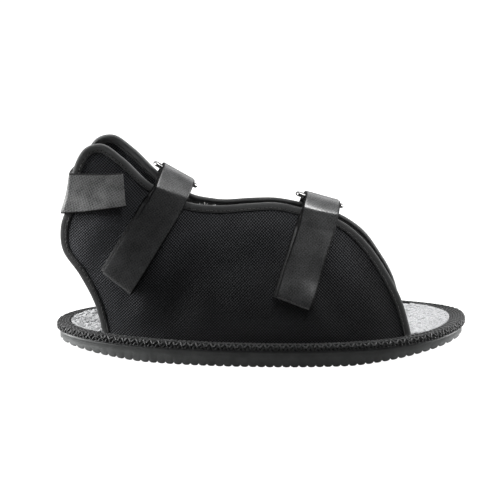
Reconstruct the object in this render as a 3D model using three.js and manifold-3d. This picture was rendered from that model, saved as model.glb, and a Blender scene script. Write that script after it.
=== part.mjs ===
// An open-heel, open-toe cast boot for either foot: a rippled rubber outsole, a felt footbed,
// a woven trim round the edge, an upper of two fabric walls on one turned-in margin, bindings
// on the walls' free edges, two straps that turn back round steel rings, and a heel strap.
// Millimetres. +X runs to the toe, +Y to the side where the rings are held, +Z up.
// The origin is on the floor, under the middle of the sole.
import * as THREE from 'three';
import { mergeVertices } from 'three/addons/utils/BufferGeometryUtils.js';
import Module from 'manifold-3d';

const wasm = await Module();
wasm.setup();

// Sole
const soleLength = 286; // over the edge trim, heel end to toe end
const ballWidth = 113; // over the edge trim at its widest
const widestShare = 0.572; // where the sole is widest, as a share of its length from the heel
const heelPower = 2.06; // roundness of the heel end: 2 is an ellipse
const toePower = 2.1; // roundness of the toe end
const outsoleThickness = 11.7; // at the flat of the sole, to the ground
const outsoleInset = 1.4; // the trim stands this far proud of the rubber
const flatHeelShare = 0.22; // the sole lies flat on the floor between these two stations
const flatToeShare = 0.71;
const heelRise = 5.2; // how far the rubber's underside lifts at the heel end
const toeRise = 9.5; // and at the toe end
const heelRisePower = 1.3;
const toeRisePower = 1.4;
const toeSpring = 4.2; // how far the top of the sole lifts at the toe end
const toeSpringPower = 3;
const ripplePitch = 5.7;
const rippleDepth = 1.8;
const rippleFlatShare = 0.4; // flat foot of a ripple, as a share of the pitch
const rippleShoulderShare = 0.68; // width of a ripple at its shoulders
const rippleShoulderDrop = 0.3; // height of the shoulders, as a share of the depth

// Edge trim and footbed
const trimHeight = 5;
const trimSide = 2.7; // width of the trim beside the walls
const trimHeel = 9.2; // width of the trim at the heel end
const trimToe = 10.2; // width of the trim at the toe end
const trimRound = 0.9; // rounding of the trim's outer shoulder
const footbedThickness = 3.6;

// Upper
const collarHeight = 147; // floor to the top of the collar
const wallThickness = 1.6;
const marginWidth = 12; // the walls' margin that is turned in under the footbed
const throatHalfGap = 8; // half the gap between the two walls at the throat
const collarHalfGap = 14.5; // half the gap between them at the collar
const wallLeanPower = 1.45; // how late a wall turns in towards the throat
const farCollarShift = 5.6; // the far wall's collar sits this much nearer to the toe
const farToeShift = 2.4; // and its toe edge this much nearer to the heel
const farThroatDrop = 1.4; // and its throat this much lower
const farRearFade = [0.34, 0.44]; // stations between which the collar's shift fades out
const farThroatFade = [0.55, 0.72]; // and between which the throat's drop does
const farToeFade = [0.73, 0.81]; // and between which the toe edge's shift starts
const farCollarFade = [0.6, 0.75]; // heights, as shares of collarHeight, where the collar's starts
const highestRise = 1.2; // a wall's lean is followed up to this share of its ridge's height
const bindingWidth = 4.4;
const bindingThickness = 0.8;

// Straps, their rings and the heel strap
const strapWidth = 24.6;
const strapThickness = 1.6;
const ringWire = 3;
const ringClear = 0.8; // between a strap's toe-side edge and the ring's wire
const ringSpare = 2.2; // further room in the ring at the strap's heel-side edge
const ringReach = 8.5; // between the centres of a ring's two long bars
const ringCorner = 2.4; // radius of a ring's corners, to the middle of its wire
const ringFall = 10; // degrees that a ring falls away to the far side
const ankleStrapLength = 65.5; // how far a strap runs down the near wall
const instepStrapLength = 57;
const ankleRingRise = 12.5; // how far above the wall's edge a ring's nearer bar lies
const instepRingRise = 7.5;
const tabLength = 30; // how far a ring's tab runs down the far wall
const heelStrapReachShare = 0.173; // how far forward the heel strap's ends lie
const heelStrapHeightShare = 0.7857; // height of its middle, as a share of collarHeight
const heelStrapThickness = 1.1;
const heelStrapTilt = 5; // degrees that it climbs towards the toe
const heelStrapFullness = 0.08; // how roundly it turns behind the heel
const climbStartShare = 2.5; // a strap starts to rise over the binding this far below the
const climbEndShare = 1.3; // wall's edge, and has risen here, in widths of the binding
const bendPull = 0.4; // fullness of a strap's bends to and from its ring

const gap = 0.3; // between pieces that touch
const footbedClear = 0.6; // between the felt's edge and the walls
const strapClear = 0.6; // between a strap and the wall or binding that it lies on
const bindingClear = 0.75; // between a binding and the wall inside it

// Steps of the faceted forms
const ovalSteps = 72;
const threadsAlong = 44;
const rowsUp = 7;
const footbedSteps = 24;
const deckSteps = 24;
const sideSteps = 5;
const bendSteps = 4;
const turnSteps = 5;
const heelSideSteps = 5;
const heelTurnSteps = 10;
const ringSides = 7;
const ringCornerSteps = 3;
const solveSteps = 40;
const slopeStep = 0.5; // distance over which a wall's slope is read
const tangentStep = 0.2; // and a free edge's direction, in spaces between threads
const throatShare = [0.44, 0.9]; // where along the free edge the straps cross it
const backShare = [0.12, 0.42]; // where along it the heel strap does

const widestX = stationX(widestShare);
const outerOval = { half: ballWidth / 2, heel: -soleLength / 2, toe: soleLength / 2 };
const innerOval = grown(outerOval, -trimSide, -trimHeel, -trimToe);
const wallOval = grown(innerOval, -gap, -gap, -gap);
const soleTop = Math.max(trimHeight + gap, 2 * gap + wallThickness + footbedThickness);
const soleReach = 20; // a block this much wider than the sole trims the bindings' feet
const cornerClear = 2; // from a wall's corner to where the footbed widens to the trim
const marginBase = gap; // heights above the top of the outsole
const footbedBase = marginBase + wallThickness + gap;
const trimBase = gap;

// The bound free edge of a wall, from its heel corner over the collar and the throat to its
// toe corner.
// foot: where the thread that ends at this knot leaves the sole; along: the knot's own station,
// both as shares of the sole's length from the heel. up: its height as a share of collarHeight.
const freeEdge = [
  { foot: 0.119, along: 0.119, up: 0 },
  { foot: 0.134, along: 0.099, up: 0.25 },
  { foot: 0.152, along: 0.063, up: 0.385 },
  { foot: 0.182, along: 0.022, up: 0.497 },
  { foot: 0.212, along: 0.018, up: 0.61 },
  { foot: 0.24, along: 0.042, up: 0.75 },
  { foot: 0.262, along: 0.0515, up: 0.885 },
  { foot: 0.284, along: 0.08, up: 0.98 },
  { foot: 0.308, along: 0.122, up: 1 },
  { foot: 0.334, along: 0.172, up: 0.936 },
  { foot: 0.364, along: 0.237, up: 0.814 },
  { foot: 0.404, along: 0.316, up: 0.722 },
  { foot: 0.45, along: 0.385, up: 0.7 },
  { foot: 0.516, along: 0.478, up: 0.71 },
  { foot: 0.564, along: 0.536, up: 0.712 },
  { foot: 0.612, along: 0.598, up: 0.687 },
  { foot: 0.68, along: 0.692, up: 0.625 },
  { foot: 0.738, along: 0.755, up: 0.53 },
  { foot: 0.792, along: 0.802, up: 0.41 },
  { foot: 0.835, along: 0.84, up: 0.27 },
  { foot: 0.866, along: 0.866, up: 0 },
];

// How high the walls' ridge line runs along the boot, as a share of collarHeight, and how far
// the two walls are apart there: 0 is the throat's gap and 1 is the collar's.
const ridge = [
  { along: 0.0, up: 1.0, open: 1 },
  { along: 0.14, up: 1.01, open: 1 },
  { along: 0.2, up: 0.93, open: 0.8 },
  { along: 0.26, up: 0.83, open: 0.4 },
  { along: 0.33, up: 0.73, open: 0 },
  { along: 0.5, up: 0.72, open: 0 },
  { along: 0.61, up: 0.69, open: 0 },
  { along: 0.72, up: 0.6, open: 0.15 },
  { along: 0.8, up: 0.555, open: 0.3 },
  { along: 1.0, up: 0.42, open: 0.5 },
];

// How far the heel's back line lies behind the footbed's heel end, by height, as a share
// of the sole's length: the walls swing back over the open heel.
const backLine = [
  { up: 0, behind: 0 },
  { up: 0.06, behind: 0 },
  { up: 0.2, behind: 0.022 },
  { up: 0.4, behind: 0.05 },
  { up: 0.55, behind: 0.054 },
  { up: 0.7, behind: 0.036 },
  { up: 0.86, behind: 0.02 },
  { up: 1.02, behind: 0.012 },
];

// A turned-back strap. along: where its middle line crosses the near wall's edge. tilt: its
// lean from the vertical towards the toe. slant: how far its ring falls towards the toe.
// length: how far it runs down the wall. cut: how far its lower end is off square.
// rise: how far above the crossing its ring's nearer bar lies. Angles are in degrees.
const straps = [
  {
    name: 'ankle',
    along: 0.2745,
    tilt: 31.2,
    slant: 30,
    length: ankleStrapLength,
    cut: 6,
    rise: ankleRingRise,
  },
  {
    name: 'instep',
    along: 0.638,
    tilt: 19.3,
    slant: 16,
    length: instepStrapLength,
    cut: 4,
    rise: instepRingRise,
  },
];

function stationX(share) {
  return (share - 0.5) * soleLength;
}

function grown(oval, side, heel, toe) {
  return { half: oval.half + side, heel: oval.heel - heel, toe: oval.toe + toe };
}

function ramp(value, from, to) {
  const t = THREE.MathUtils.clamp((value - from) / (to - from), 0, 1);
  return t * t * (3 - 2 * t);
}

// Smooth reading of a table's column between its rows
function readTable(rows, key, value, column) {
  let row = 0;
  while (row < rows.length - 2 && value > rows[row + 1][key]) row += 1;
  const slope = (n) => {
    const before = rows[Math.max(n - 1, 0)];
    const after = rows[Math.min(n + 1, rows.length - 1)];
    return (after[column] - before[column]) / (after[key] - before[key]);
  };
  const span = rows[row + 1][key] - rows[row][key];
  const t = THREE.MathUtils.clamp((value - rows[row][key]) / span, 0, 1);
  const t2 = t * t;
  const t3 = t2 * t;
  return (
    (2 * t3 - 3 * t2 + 1) * rows[row][column] +
    (t3 - 2 * t2 + t) * span * slope(row) +
    (3 * t2 - 2 * t3) * rows[row + 1][column] +
    (t3 - t2) * span * slope(row + 1)
  );
}

// Height of the outsole's top, and of its underside's ripple feet
function deckZ(x) {
  const start = stationX(flatToeShare);
  const t = Math.max(0, (x - start) / (outerOval.toe - start));
  return outsoleThickness + toeSpring * t ** toeSpringPower;
}

function groundZ(x) {
  const heelStart = stationX(flatHeelShare);
  const toeStart = stationX(flatToeShare);
  const heel = Math.max(0, (heelStart - x) / (heelStart - outerOval.heel));
  const toe = Math.max(0, (x - toeStart) / (outerOval.toe - toeStart));
  return heelRise * heel ** heelRisePower + toeRise * toe ** toeRisePower;
}

// Half width of an oval at x, zero past its ends
function ovalHalf(oval, x) {
  const toeward = x >= widestX;
  const reach = toeward ? oval.toe - widestX : widestX - oval.heel;
  const power = toeward ? toePower : heelPower;
  const t = Math.min(1, Math.abs(x - widestX) / reach);
  return oval.half * (1 - t ** power) ** (1 / power);
}

// The oval as points at even turns round it, starting at the toe end
function ovalPoint(oval, turn) {
  const c = Math.cos(turn);
  const s = Math.sin(turn);
  const power = c >= 0 ? toePower : heelPower;
  const reach = c >= 0 ? oval.toe - widestX : oval.heel - widestX;
  return {
    x: widestX + reach * Math.abs(c) ** (2 / power),
    y: oval.half * Math.sign(s) * Math.abs(s) ** (2 / power),
  };
}

// Half distance between the outsides of the two walls at a station and height
function wallHalf(x, z) {
  const along = x / soleLength + 0.5;
  const footZ = wallFootZ(x);
  const behind = readTable(backLine, 'up', (z - footZ) / (collarHeight - footZ), 'behind');
  const plan = { ...wallOval, heel: wallOval.heel - behind * soleLength };
  const side = ovalHalf(plan, x);
  const ridgeZ = readTable(ridge, 'along', along, 'up') * collarHeight;
  const open = readTable(ridge, 'along', along, 'open');
  const top = throatHalfGap + (collarHalfGap - throatHalfGap) * open;
  const rise = THREE.MathUtils.clamp((z - footZ) / (ridgeZ - footZ), 0, highestRise);
  const lean = rise ** wallLeanPower;
  return side + (Math.min(top, side) - side) * lean;
}

function wallFootZ(x) {
  return deckZ(x) + marginBase + wallThickness / 2;
}

// A point on the outside of a wall, moved outwards by lift. side is -1 near and +1 far.
function onWall(x, z, side, lift = 0) {
  const step = slopeStep;
  const y = wallHalf(x, z);
  const slopeX = (wallHalf(x + step, z) - wallHalf(x - step, z)) / (2 * step);
  const slopeZ = (wallHalf(x, z + step) - wallHalf(x, z - step)) / (2 * step);
  const normal = new THREE.Vector3(-slopeX, 1, -slopeZ).normalize();
  const point = new THREE.Vector3(x, y, z).addScaledVector(normal, lift);
  point.y *= side;
  normal.y *= side;
  return { point, normal };
}

// The thread of a wall at a share u of its free edge, and v of the way up from the foot
const edgeCurve = new THREE.CatmullRomCurve3(
  freeEdge.map(({ foot, along, up }) => {
    const x = stationX(along);
    const z = up === 0 ? wallFootZ(x) : up * collarHeight;
    return new THREE.Vector3(x, z, stationX(foot));
  }),
  false,
  'centripetal',
);

function thread(u, v, side) {
  const knot = edgeCurve.getPoint(u);
  const way = edgeCurve.getTangent(u);
  const fold = new THREE.Vector2(way.y, -way.x).normalize();
  fold.multiplyScalar(bindingClear + bindingThickness);
  const height = knot.y - wallFootZ(knot.x);
  const low = 1 - THREE.MathUtils.clamp(height / (2 * bindingWidth), 0, 1);
  const end = new THREE.Vector2(knot.x + fold.x, knot.y + fold.y);
  const start = new THREE.Vector2(knot.z + fold.x * low, 0);
  if (side > 0) {
    const rear = 1 - ramp(end.x, ...farRearFade.map(stationX));
    const throat = (1 - rear) * (1 - ramp(end.x, ...farThroatFade.map(stationX)));
    const high = ramp(end.y / collarHeight, ...farCollarFade);
    end.y -= farThroatDrop * throat;
    end.x += farCollarShift * rear * high;
    end.x -= farToeShift * ramp(end.x, ...farToeFade.map(stationX));
    start.x -= farToeShift * ramp(start.x, ...farToeFade.map(stationX));
  }
  start.y = wallFootZ(start.x);
  end.y = THREE.MathUtils.lerp(end.y, wallFootZ(end.x), low * low);
  return start.lerp(end, v);
}

// Closed geometry from rings of points that are joined in order, each quad parted along its
// shorter diagonal. caps lists the quads, as places in a ring, that close each end.
function loft(rings, { loop = false, caps = [] } = {}) {
  const count = rings[0].length;
  const points = rings.flat();
  const positions = points.flatMap((p) => [p.x, p.y, p.z]);
  const index = [];
  const spans = loop ? rings.length : rings.length - 1;
  for (let i = 0; i < spans; i += 1) {
    const next = (i + 1) % rings.length;
    for (let j = 0; j < count; j += 1) {
      const k = (j + 1) % count;
      const a = i * count + j;
      const b = next * count + j;
      const c = next * count + k;
      const d = i * count + k;
      const across = points[a].distanceTo(points[c]) <= points[b].distanceTo(points[d]);
      index.push(...(across ? [a, b, c, a, c, d] : [a, b, d, b, c, d]));
    }
  }
  const last = (rings.length - 1) * count;
  for (const [a, b, c, d] of caps) {
    index.push(a, b, c, a, c, d);
    index.push(last + a, last + c, last + b, last + a, last + d, last + c);
  }
  const geometry = new THREE.BufferGeometry();
  geometry.setAttribute('position', new THREE.Float32BufferAttribute(positions, 3));
  geometry.setIndex(index);
  return tidied(geometry);
}

// Shared corners merged, flat triangles dropped, faces pointing out
function tidied(source) {
  const geometry = source.clone();
  geometry.deleteAttribute('normal');
  geometry.deleteAttribute('uv');
  const merged = mergeVertices(geometry, 1e-4);
  const old = merged.getIndex().array;
  const at = (n) => new THREE.Vector3().fromBufferAttribute(merged.getAttribute('position'), n);
  const index = [];
  let volume = 0;
  for (let i = 0; i < old.length; i += 3) {
    const [a, b, c] = [old[i], old[i + 1], old[i + 2]];
    if (a === b || b === c || c === a) continue;
    index.push(a, b, c);
    volume += at(a).dot(at(b).cross(at(c)));
  }
  if (volume < 0) {
    for (let i = 0; i < index.length; i += 3) {
      [index[i + 1], index[i + 2]] = [index[i + 2], index[i + 1]];
    }
  }
  merged.setIndex(index);
  return merged;
}

function toSolid(source) {
  const geometry = tidied(source);
  return new wasm.Manifold(
    new wasm.Mesh({
      numProp: 3,
      vertProperties: new Float32Array(geometry.getAttribute('position').array),
      triVerts: new Uint32Array(geometry.getIndex().array),
    }),
  );
}

function toGeometry(solid) {
  const mesh = solid.getMesh();
  const geometry = new THREE.BufferGeometry();
  geometry.setAttribute('position', new THREE.BufferAttribute(mesh.vertProperties, 3));
  geometry.setIndex(new THREE.BufferAttribute(mesh.triVerts, 1));
  return geometry;
}

// Even turns round an oval
function turnAt(n) {
  return (2 * Math.PI * n) / ovalSteps;
}

// A plate between stations of half width y, bent to the top of the sole
function plate(stations, base, thickness) {
  const rings = stations.map(({ x, y }) => {
    const z = deckZ(x) + base;
    return [
      new THREE.Vector3(x, -y, z),
      new THREE.Vector3(x, y, z),
      new THREE.Vector3(x, y, z + thickness),
      new THREE.Vector3(x, -y, z + thickness),
    ];
  });
  return loft(rings);
}

function halfOval(oval) {
  const stations = [];
  for (let n = 0; n <= ovalSteps / 2; n += 1) stations.push(ovalPoint(oval, turnAt(n)));
  return stations;
}

// A band between two ovals. section gives, for each of its corners, how far in it lies
// from the outer oval to the inner one, a further inset, and its height above the deck.
function band(outer, inner, section) {
  const rings = [];
  for (let n = 0; n < ovalSteps; n += 1) {
    const a = ovalPoint(outer, turnAt(n));
    const b = ovalPoint(inner, turnAt(n));
    rings.push(
      section.map(({ inward, inset = 0, up }) => {
        const from = new THREE.Vector2(a.x, a.y);
        const across = new THREE.Vector2(b.x - a.x, b.y - a.y);
        const share = inward + inset / across.length();
        from.addScaledVector(across, share);
        return new THREE.Vector3(from.x, from.y, deckZ(from.x) + up);
      }),
    );
  }
  return loft(rings, { loop: true });
}

function makeOutsole() {
  const oval = grown(outerOval, -outsoleInset, -outsoleInset, -outsoleInset);
  const profile = new THREE.Shape();
  const reach = soleLength / 2;
  profile.moveTo(-reach, deckZ(-reach));
  for (let n = 1; n <= deckSteps; n += 1) {
    const x = -reach + (soleLength * n) / deckSteps;
    profile.lineTo(x, deckZ(x));
  }
  const ripples = Math.ceil(reach / ripplePitch);
  const corners = [
    { at: rippleShoulderShare / 2, up: rippleShoulderDrop },
    { at: rippleFlatShare / 2, up: 0 },
    { at: -rippleFlatShare / 2, up: 0 },
    { at: -rippleShoulderShare / 2, up: rippleShoulderDrop },
    { at: -0.5, up: 1 },
  ];
  for (let n = ripples; n >= -ripples; n -= 1) {
    for (const { at, up } of corners) {
      const x = (n + at) * ripplePitch;
      profile.lineTo(x, groundZ(x) + up * rippleDepth);
    }
  }
  const slab = new THREE.ExtrudeGeometry(profile, { depth: ballWidth, bevelEnabled: false });
  slab.rotateX(Math.PI / 2).translate(0, ballWidth / 2, 0);
  const outline = new THREE.Shape();
  for (let n = 0; n < ovalSteps; n += 1) {
    const { x, y } = ovalPoint(oval, turnAt(n));
    if (n === 0) outline.moveTo(x, y);
    else outline.lineTo(x, y);
  }
  const depth = outsoleThickness + toeSpring + toeRise;
  const block = new THREE.ExtrudeGeometry(outline, { depth: 2 * depth, bevelEnabled: false });
  block.translate(0, 0, -depth);
  return toGeometry(toSolid(slab).intersect(toSolid(block)));
}

function makeTrim() {
  const top = trimBase + trimHeight;
  return band(outerOval, innerOval, [
    { inward: 0, inset: trimRound / 2, up: trimBase },
    { inward: 0, up: trimBase + trimRound },
    { inward: 0, up: top - trimRound },
    { inward: 0, inset: trimRound, up: top },
    { inward: 1, inset: -trimRound / 2, up: top },
    { inward: 1, up: top - trimRound },
    { inward: 1, up: trimBase },
  ]);
}

// A wall from threads that run up from its foot to its free edge
function makeWall(side) {
  const rings = [];
  for (let i = 0; i <= threadsAlong; i += 1) {
    const outer = [];
    const inner = [];
    for (let j = 0; j <= rowsUp; j += 1) {
      const at = thread(i / threadsAlong, rowShare(i / threadsAlong, j), side);
      outer.push(onWall(at.x, at.y, side).point);
      inner.unshift(onWall(at.x, at.y, side, -wallThickness).point);
    }
    rings.push([...outer, ...inner]);
  }
  return loft(rings);
}

// How far up a thread its row j lies: the last row is as deep as the binding
function rowShare(u, j) {
  const length = thread(u, 1, -1).distanceTo(thread(u, 0, -1));
  const edgeRow = Math.min(1 / rowsUp, (bindingWidth + gap) / length);
  return j === rowsUp ? 1 : (j / (rowsUp - 1)) * (1 - edgeRow);
}

function makeUpper() {
  const marginInner = grown(wallOval, -marginWidth, -marginWidth, -marginWidth);
  const margin = band(wallOval, marginInner, [
    { inward: 0, up: marginBase },
    { inward: 1, up: marginBase },
    { inward: 1, up: marginBase + wallThickness },
    { inward: 0, up: marginBase + wallThickness },
  ]);
  const solid = toSolid(margin).add(toSolid(makeWall(-1))).add(toSolid(makeWall(1)));
  return toGeometry(solid);
}

// The felt lies inside the walls, and reaches the trim where they end
function makeFootbed() {
  const top = footbedBase + footbedThickness;
  const rearCorner = stationX(freeEdge[0].along) - cornerClear;
  const toeCorner = stationX(freeEdge.at(-1).along) + cornerClear;
  const whole = halfOval(grown(innerOval, -gap, -gap, -gap));
  const toe = whole.filter(({ x }) => x > toeCorner);
  const heel = whole.filter(({ x }) => x < rearCorner);
  const inside = [];
  for (let n = 0; n <= footbedSteps; n += 1) {
    const x = THREE.MathUtils.lerp(toeCorner, rearCorner, n / footbedSteps);
    inside.push(onWall(x, deckZ(x) + top, 1, -wallThickness - footbedClear).point);
  }
  return plate([...toe, ...inside, ...heel], footbedBase, footbedThickness);
}

// The binding folds over a wall's free edge, with a leg on each face
function makeBinding(side) {
  const outer = bindingClear + bindingThickness;
  const backFace = -wallThickness - bindingClear;
  const rings = [];
  const step = tangentStep / threadsAlong;
  const places = [0.5];
  for (let i = 1; i < threadsAlong; i += 1) places.push(i);
  places.push(threadsAlong - 0.5);
  for (const place of places) {
    const u = place / threadsAlong;
    const here = thread(u, 1, side);
    const before = thread(u - step, 1, side);
    const after = thread(u + step, 1, side);
    const tangent = onWall(after.x, after.y, side).point;
    tangent.sub(onWall(before.x, before.y, side).point).normalize();
    const { normal } = onWall(here.x, here.y, side);
    const inward = tangent.clone().cross(normal).multiplyScalar(-side);
    const leg = (depth, lift) => {
      return onWall(here.x + inward.x * depth, here.y + inward.z * depth, side, lift).point;
    };
    rings.push([
      leg(bindingWidth, outer),
      leg(-outer, outer),
      leg(-outer, backFace - bindingThickness),
      leg(bindingWidth, backFace - bindingThickness),
      leg(bindingWidth, backFace),
      leg(-bindingClear, backFace),
      leg(-bindingClear, bindingClear),
      leg(bindingWidth, bindingClear),
    ]);
  }
  const caps = [
    [0, 1, 6, 7],
    [1, 2, 5, 6],
    [2, 3, 4, 5],
  ];
  const below = halfOval(grown(outerOval, soleReach, soleReach, soleReach));
  const sole = plate(below, -outsoleThickness, outsoleThickness + soleTop + gap);
  return toGeometry(toSolid(loft(rings, { caps })).subtract(toSolid(sole)));
}

// A strip of webbing. Each station holds pairs of points, one on each face, across the strip.
function ribbon(stations) {
  const across = stations[0].length;
  const rings = stations.map((pairs) => [
    ...pairs.map(({ a }) => a),
    ...pairs.map(({ b }) => b).reverse(),
  ]);
  const caps = [];
  for (let k = 0; k < across - 1; k += 1) {
    caps.push([k, k + 1, 2 * across - 2 - k, 2 * across - 1 - k]);
  }
  return loft(rings, { caps });
}

const acrossStrap = [-0.5, -0.25, 0, 0.25, 0.5];
const middleColumn = 2;

// The frame of a turned-back strap: its crossing of the near wall's edge, the way up along
// it and the way across it
function strapFrame({ along, tilt, slant }) {
  const lean = THREE.MathUtils.degToRad(tilt);
  const fall = THREE.MathUtils.degToRad(slant);
  const up = new THREE.Vector2(Math.sin(lean), Math.cos(lean));
  const across = new THREE.Vector2(Math.cos(fall), -Math.sin(fall));
  const x = stationX(along);
  const u = solve((t) => thread(t, 1, -1).x - x, ...throatShare);
  return { up, across, origin: thread(u, 1, -1) };
}

// The value between low and high where a rising function is zero
function solve(rising, low, high) {
  for (let n = 0; n < solveSteps; n += 1) {
    const middle = (low + high) / 2;
    if (rising(middle) < 0) low = middle;
    else high = middle;
  }
  return (low + high) / 2;
}

// A strip that comes up a wall, passes under a bar, turns back over it and runs down over
// itself. bar is seen end on in the strap's own frame, of how far it lies to the far side and
// how far up the strap: its centre, and the way from it to the ring's other side.
function makeTurnedStrap(strap, side, length, bar) {
  const { up, across, origin } = strapFrame(strap);
  const t = strapThickness;
  const place = (along, k) => origin.clone().addScaledVector(up, along).addScaledVector(across, k);
  const apart = new THREE.Vector2(up.y, -up.x);
  const reaches = acrossStrap.map((share) => {
    const from = place(0, share * strapWidth);
    const edge = solve((n) => thread(n, 1, side).sub(from).dot(apart), ...throatShare);
    return thread(edge, 1, side).sub(from).dot(up);
  });
  const reach = Math.max(...reaches) + bindingClear + bindingThickness;
  const lowest = Math.min(...reaches);
  const overBinding = bindingClear + bindingThickness + strapClear;
  const climbFrom = lowest - climbStartShare * bindingWidth;
  const climbTo = lowest - climbEndShare * bindingWidth;
  const endSlope = Math.tan(THREE.MathUtils.degToRad(strap.cut));
  const onSide = (height, layer) =>
    acrossStrap.map((share) => {
      const k = share * strapWidth;
      const low = THREE.MathUtils.clamp((climbFrom - height) / (climbFrom + length), 0, 1);
      const along = height - k * endSlope * low;
      const at = place(along, k);
      const near = ramp(along, climbFrom, climbTo);
      const lift = strapClear + near * (overBinding - strapClear) + layer * (t + gap);
      const inner = onWall(at.x, at.y, side, lift).point;
      const outer = onWall(at.x, at.y, side, lift + t).point;
      return layer ? { a: outer, b: inner } : { a: inner, b: outer };
    });
  const flatten = ({ a, b }) => {
    const mid = a.clone().add(b).divideScalar(2);
    const rise = new THREE.Vector2(mid.x, mid.z).sub(origin).dot(up);
    return new THREE.Vector2(-side * mid.y, rise);
  };
  const free = (point, way) =>
    acrossStrap.map((share) => {
      const turn = new THREE.Vector2(-way.y, way.x).normalize().multiplyScalar(t / 2);
      const pair = [point.clone().sub(turn), point.clone().add(turn)];
      const [a, b] = pair.map((p) => {
        const at = place(p.y, share * strapWidth);
        return new THREE.Vector3(at.x, -side * p.x, at.y);
      });
      return { a, b };
    });
  const start = flatten(onSide(reach, 0)[middleColumn]);
  const startWay = start.clone().sub(flatten(onSide(reach - 1, 0)[middleColumn])).normalize();
  const end = flatten(onSide(reach, 1)[middleColumn]);
  const radius = ringWire / 2 + gap + t / 2;
  const turnIn = new THREE.Vector2(-bar.way.y, bar.way.x).multiplyScalar(radius);
  const under = bar.centre.clone().sub(turnIn);
  const over = bar.centre.clone().add(turnIn);
  const bend = (from, fromWay, to, toWay) => {
    const pull = from.distanceTo(to) * bendPull;
    return new THREE.CubicBezierCurve(
      from,
      from.clone().addScaledVector(fromWay, pull),
      to.clone().addScaledVector(toWay, -pull),
      to,
    );
  };
  const upBend = bend(start, startWay, under, bar.way);
  const backWay = bar.way.clone().negate();
  const downBend = bend(over, backWay, end, startWay.clone().negate());
  const stations = [];
  const heights = [];
  for (let n = 0; n < sideSteps; n += 1) {
    heights.push(THREE.MathUtils.lerp(-length, climbFrom, n / sideSteps));
  }
  heights.push(climbFrom, climbTo, (climbTo + reach) / 2);
  for (const along of heights) stations.push(onSide(along, 0));
  const follow = (curve, layer, first) => {
    const wall = onSide(reach, layer);
    const ideal = free(curve.getPoint(first), curve.getTangent(first));
    for (let n = 0; n <= bendSteps; n += 1) {
      const s = n / bendSteps;
      const hold = (1 - Math.abs(s - first)) ** 2;
      const pairs = free(curve.getPoint(s), curve.getTangent(s));
      pairs.forEach(({ a, b }, k) => {
        a.add(wall[k].a.clone().sub(ideal[k].a).multiplyScalar(hold));
        b.add(wall[k].b.clone().sub(ideal[k].b).multiplyScalar(hold));
      });
      stations.push(pairs);
    }
  };
  follow(upBend, 0, 0);
  for (let n = 1; n < turnSteps; n += 1) {
    const angle = (Math.PI * n) / turnSteps;
    const spoke = under.clone().rotateAround(bar.centre, angle);
    stations.push(free(spoke, bar.way.clone().rotateAround(new THREE.Vector2(), angle)));
  }
  follow(downBend, 1, 1);
  for (const along of heights.reverse()) stations.push(onSide(along, 1));
  return ribbon(stations);
}

// The two long bars of a strap's ring, in the strap's frame
function ringBars({ rise }) {
  const fall = THREE.MathUtils.degToRad(ringFall);
  const near = new THREE.Vector2(0, rise);
  const reach = new THREE.Vector2(Math.cos(fall), -Math.sin(fall)).multiplyScalar(ringReach);
  return { near, far: near.clone().add(reach), way: reach.clone().normalize() };
}

function makeRing(strap) {
  const { up, across, origin } = strapFrame(strap);
  const { near, way } = ringBars(strap);
  const halfLong = (strapWidth + ringSpare + ringWire) / 2 + ringClear;
  const path = [];
  const corners = [
    { k: 1, b: 1 },
    { k: -1, b: 1 },
    { k: -1, b: 0 },
    { k: 1, b: 0 },
  ];
  corners.forEach(({ k, b }, n) => {
    for (let step = 0; step <= ringCornerSteps; step += 1) {
      const angle = (Math.PI / 2) * (n + step / ringCornerSteps);
      const centreK = k * (halfLong - ringCorner) - ringSpare / 2;
      const centreB = b ? ringReach - ringCorner : ringCorner;
      path.push({
        k: centreK + ringCorner * Math.cos(angle),
        b: centreB + ringCorner * Math.sin(angle),
        angle,
      });
    }
  });
  const solid = ({ k, b, n }) => {
    const flat = near.clone().addScaledVector(way, b);
    flat.addScaledVector(new THREE.Vector2(-way.y, way.x), n);
    const at = origin.clone().addScaledVector(up, flat.y).addScaledVector(across, k);
    return new THREE.Vector3(at.x, flat.x, at.y);
  };
  const rings = path.map(({ k, b, angle }) => {
    const ring = [];
    for (let m = 0; m < ringSides; m += 1) {
      const turn = (2 * Math.PI * m) / ringSides;
      const out = (ringWire / 2) * Math.cos(turn);
      const n = (ringWire / 2) * Math.sin(turn);
      ring.push(solid({ k: k + out * Math.cos(angle), b: b + out * Math.sin(angle), n }));
    }
    return ring;
  });
  return loft(rings, { loop: true });
}

function makeStrap(strap) {
  const { near, way } = ringBars(strap);
  return makeTurnedStrap(strap, -1, strap.length, { centre: near, way });
}

function makeTab(strap) {
  const { far, way } = ringBars(strap);
  const centre = new THREE.Vector2(-far.x, far.y);
  return makeTurnedStrap(strap, 1, tabLength, { centre, way: new THREE.Vector2(way.x, -way.y) });
}

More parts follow.
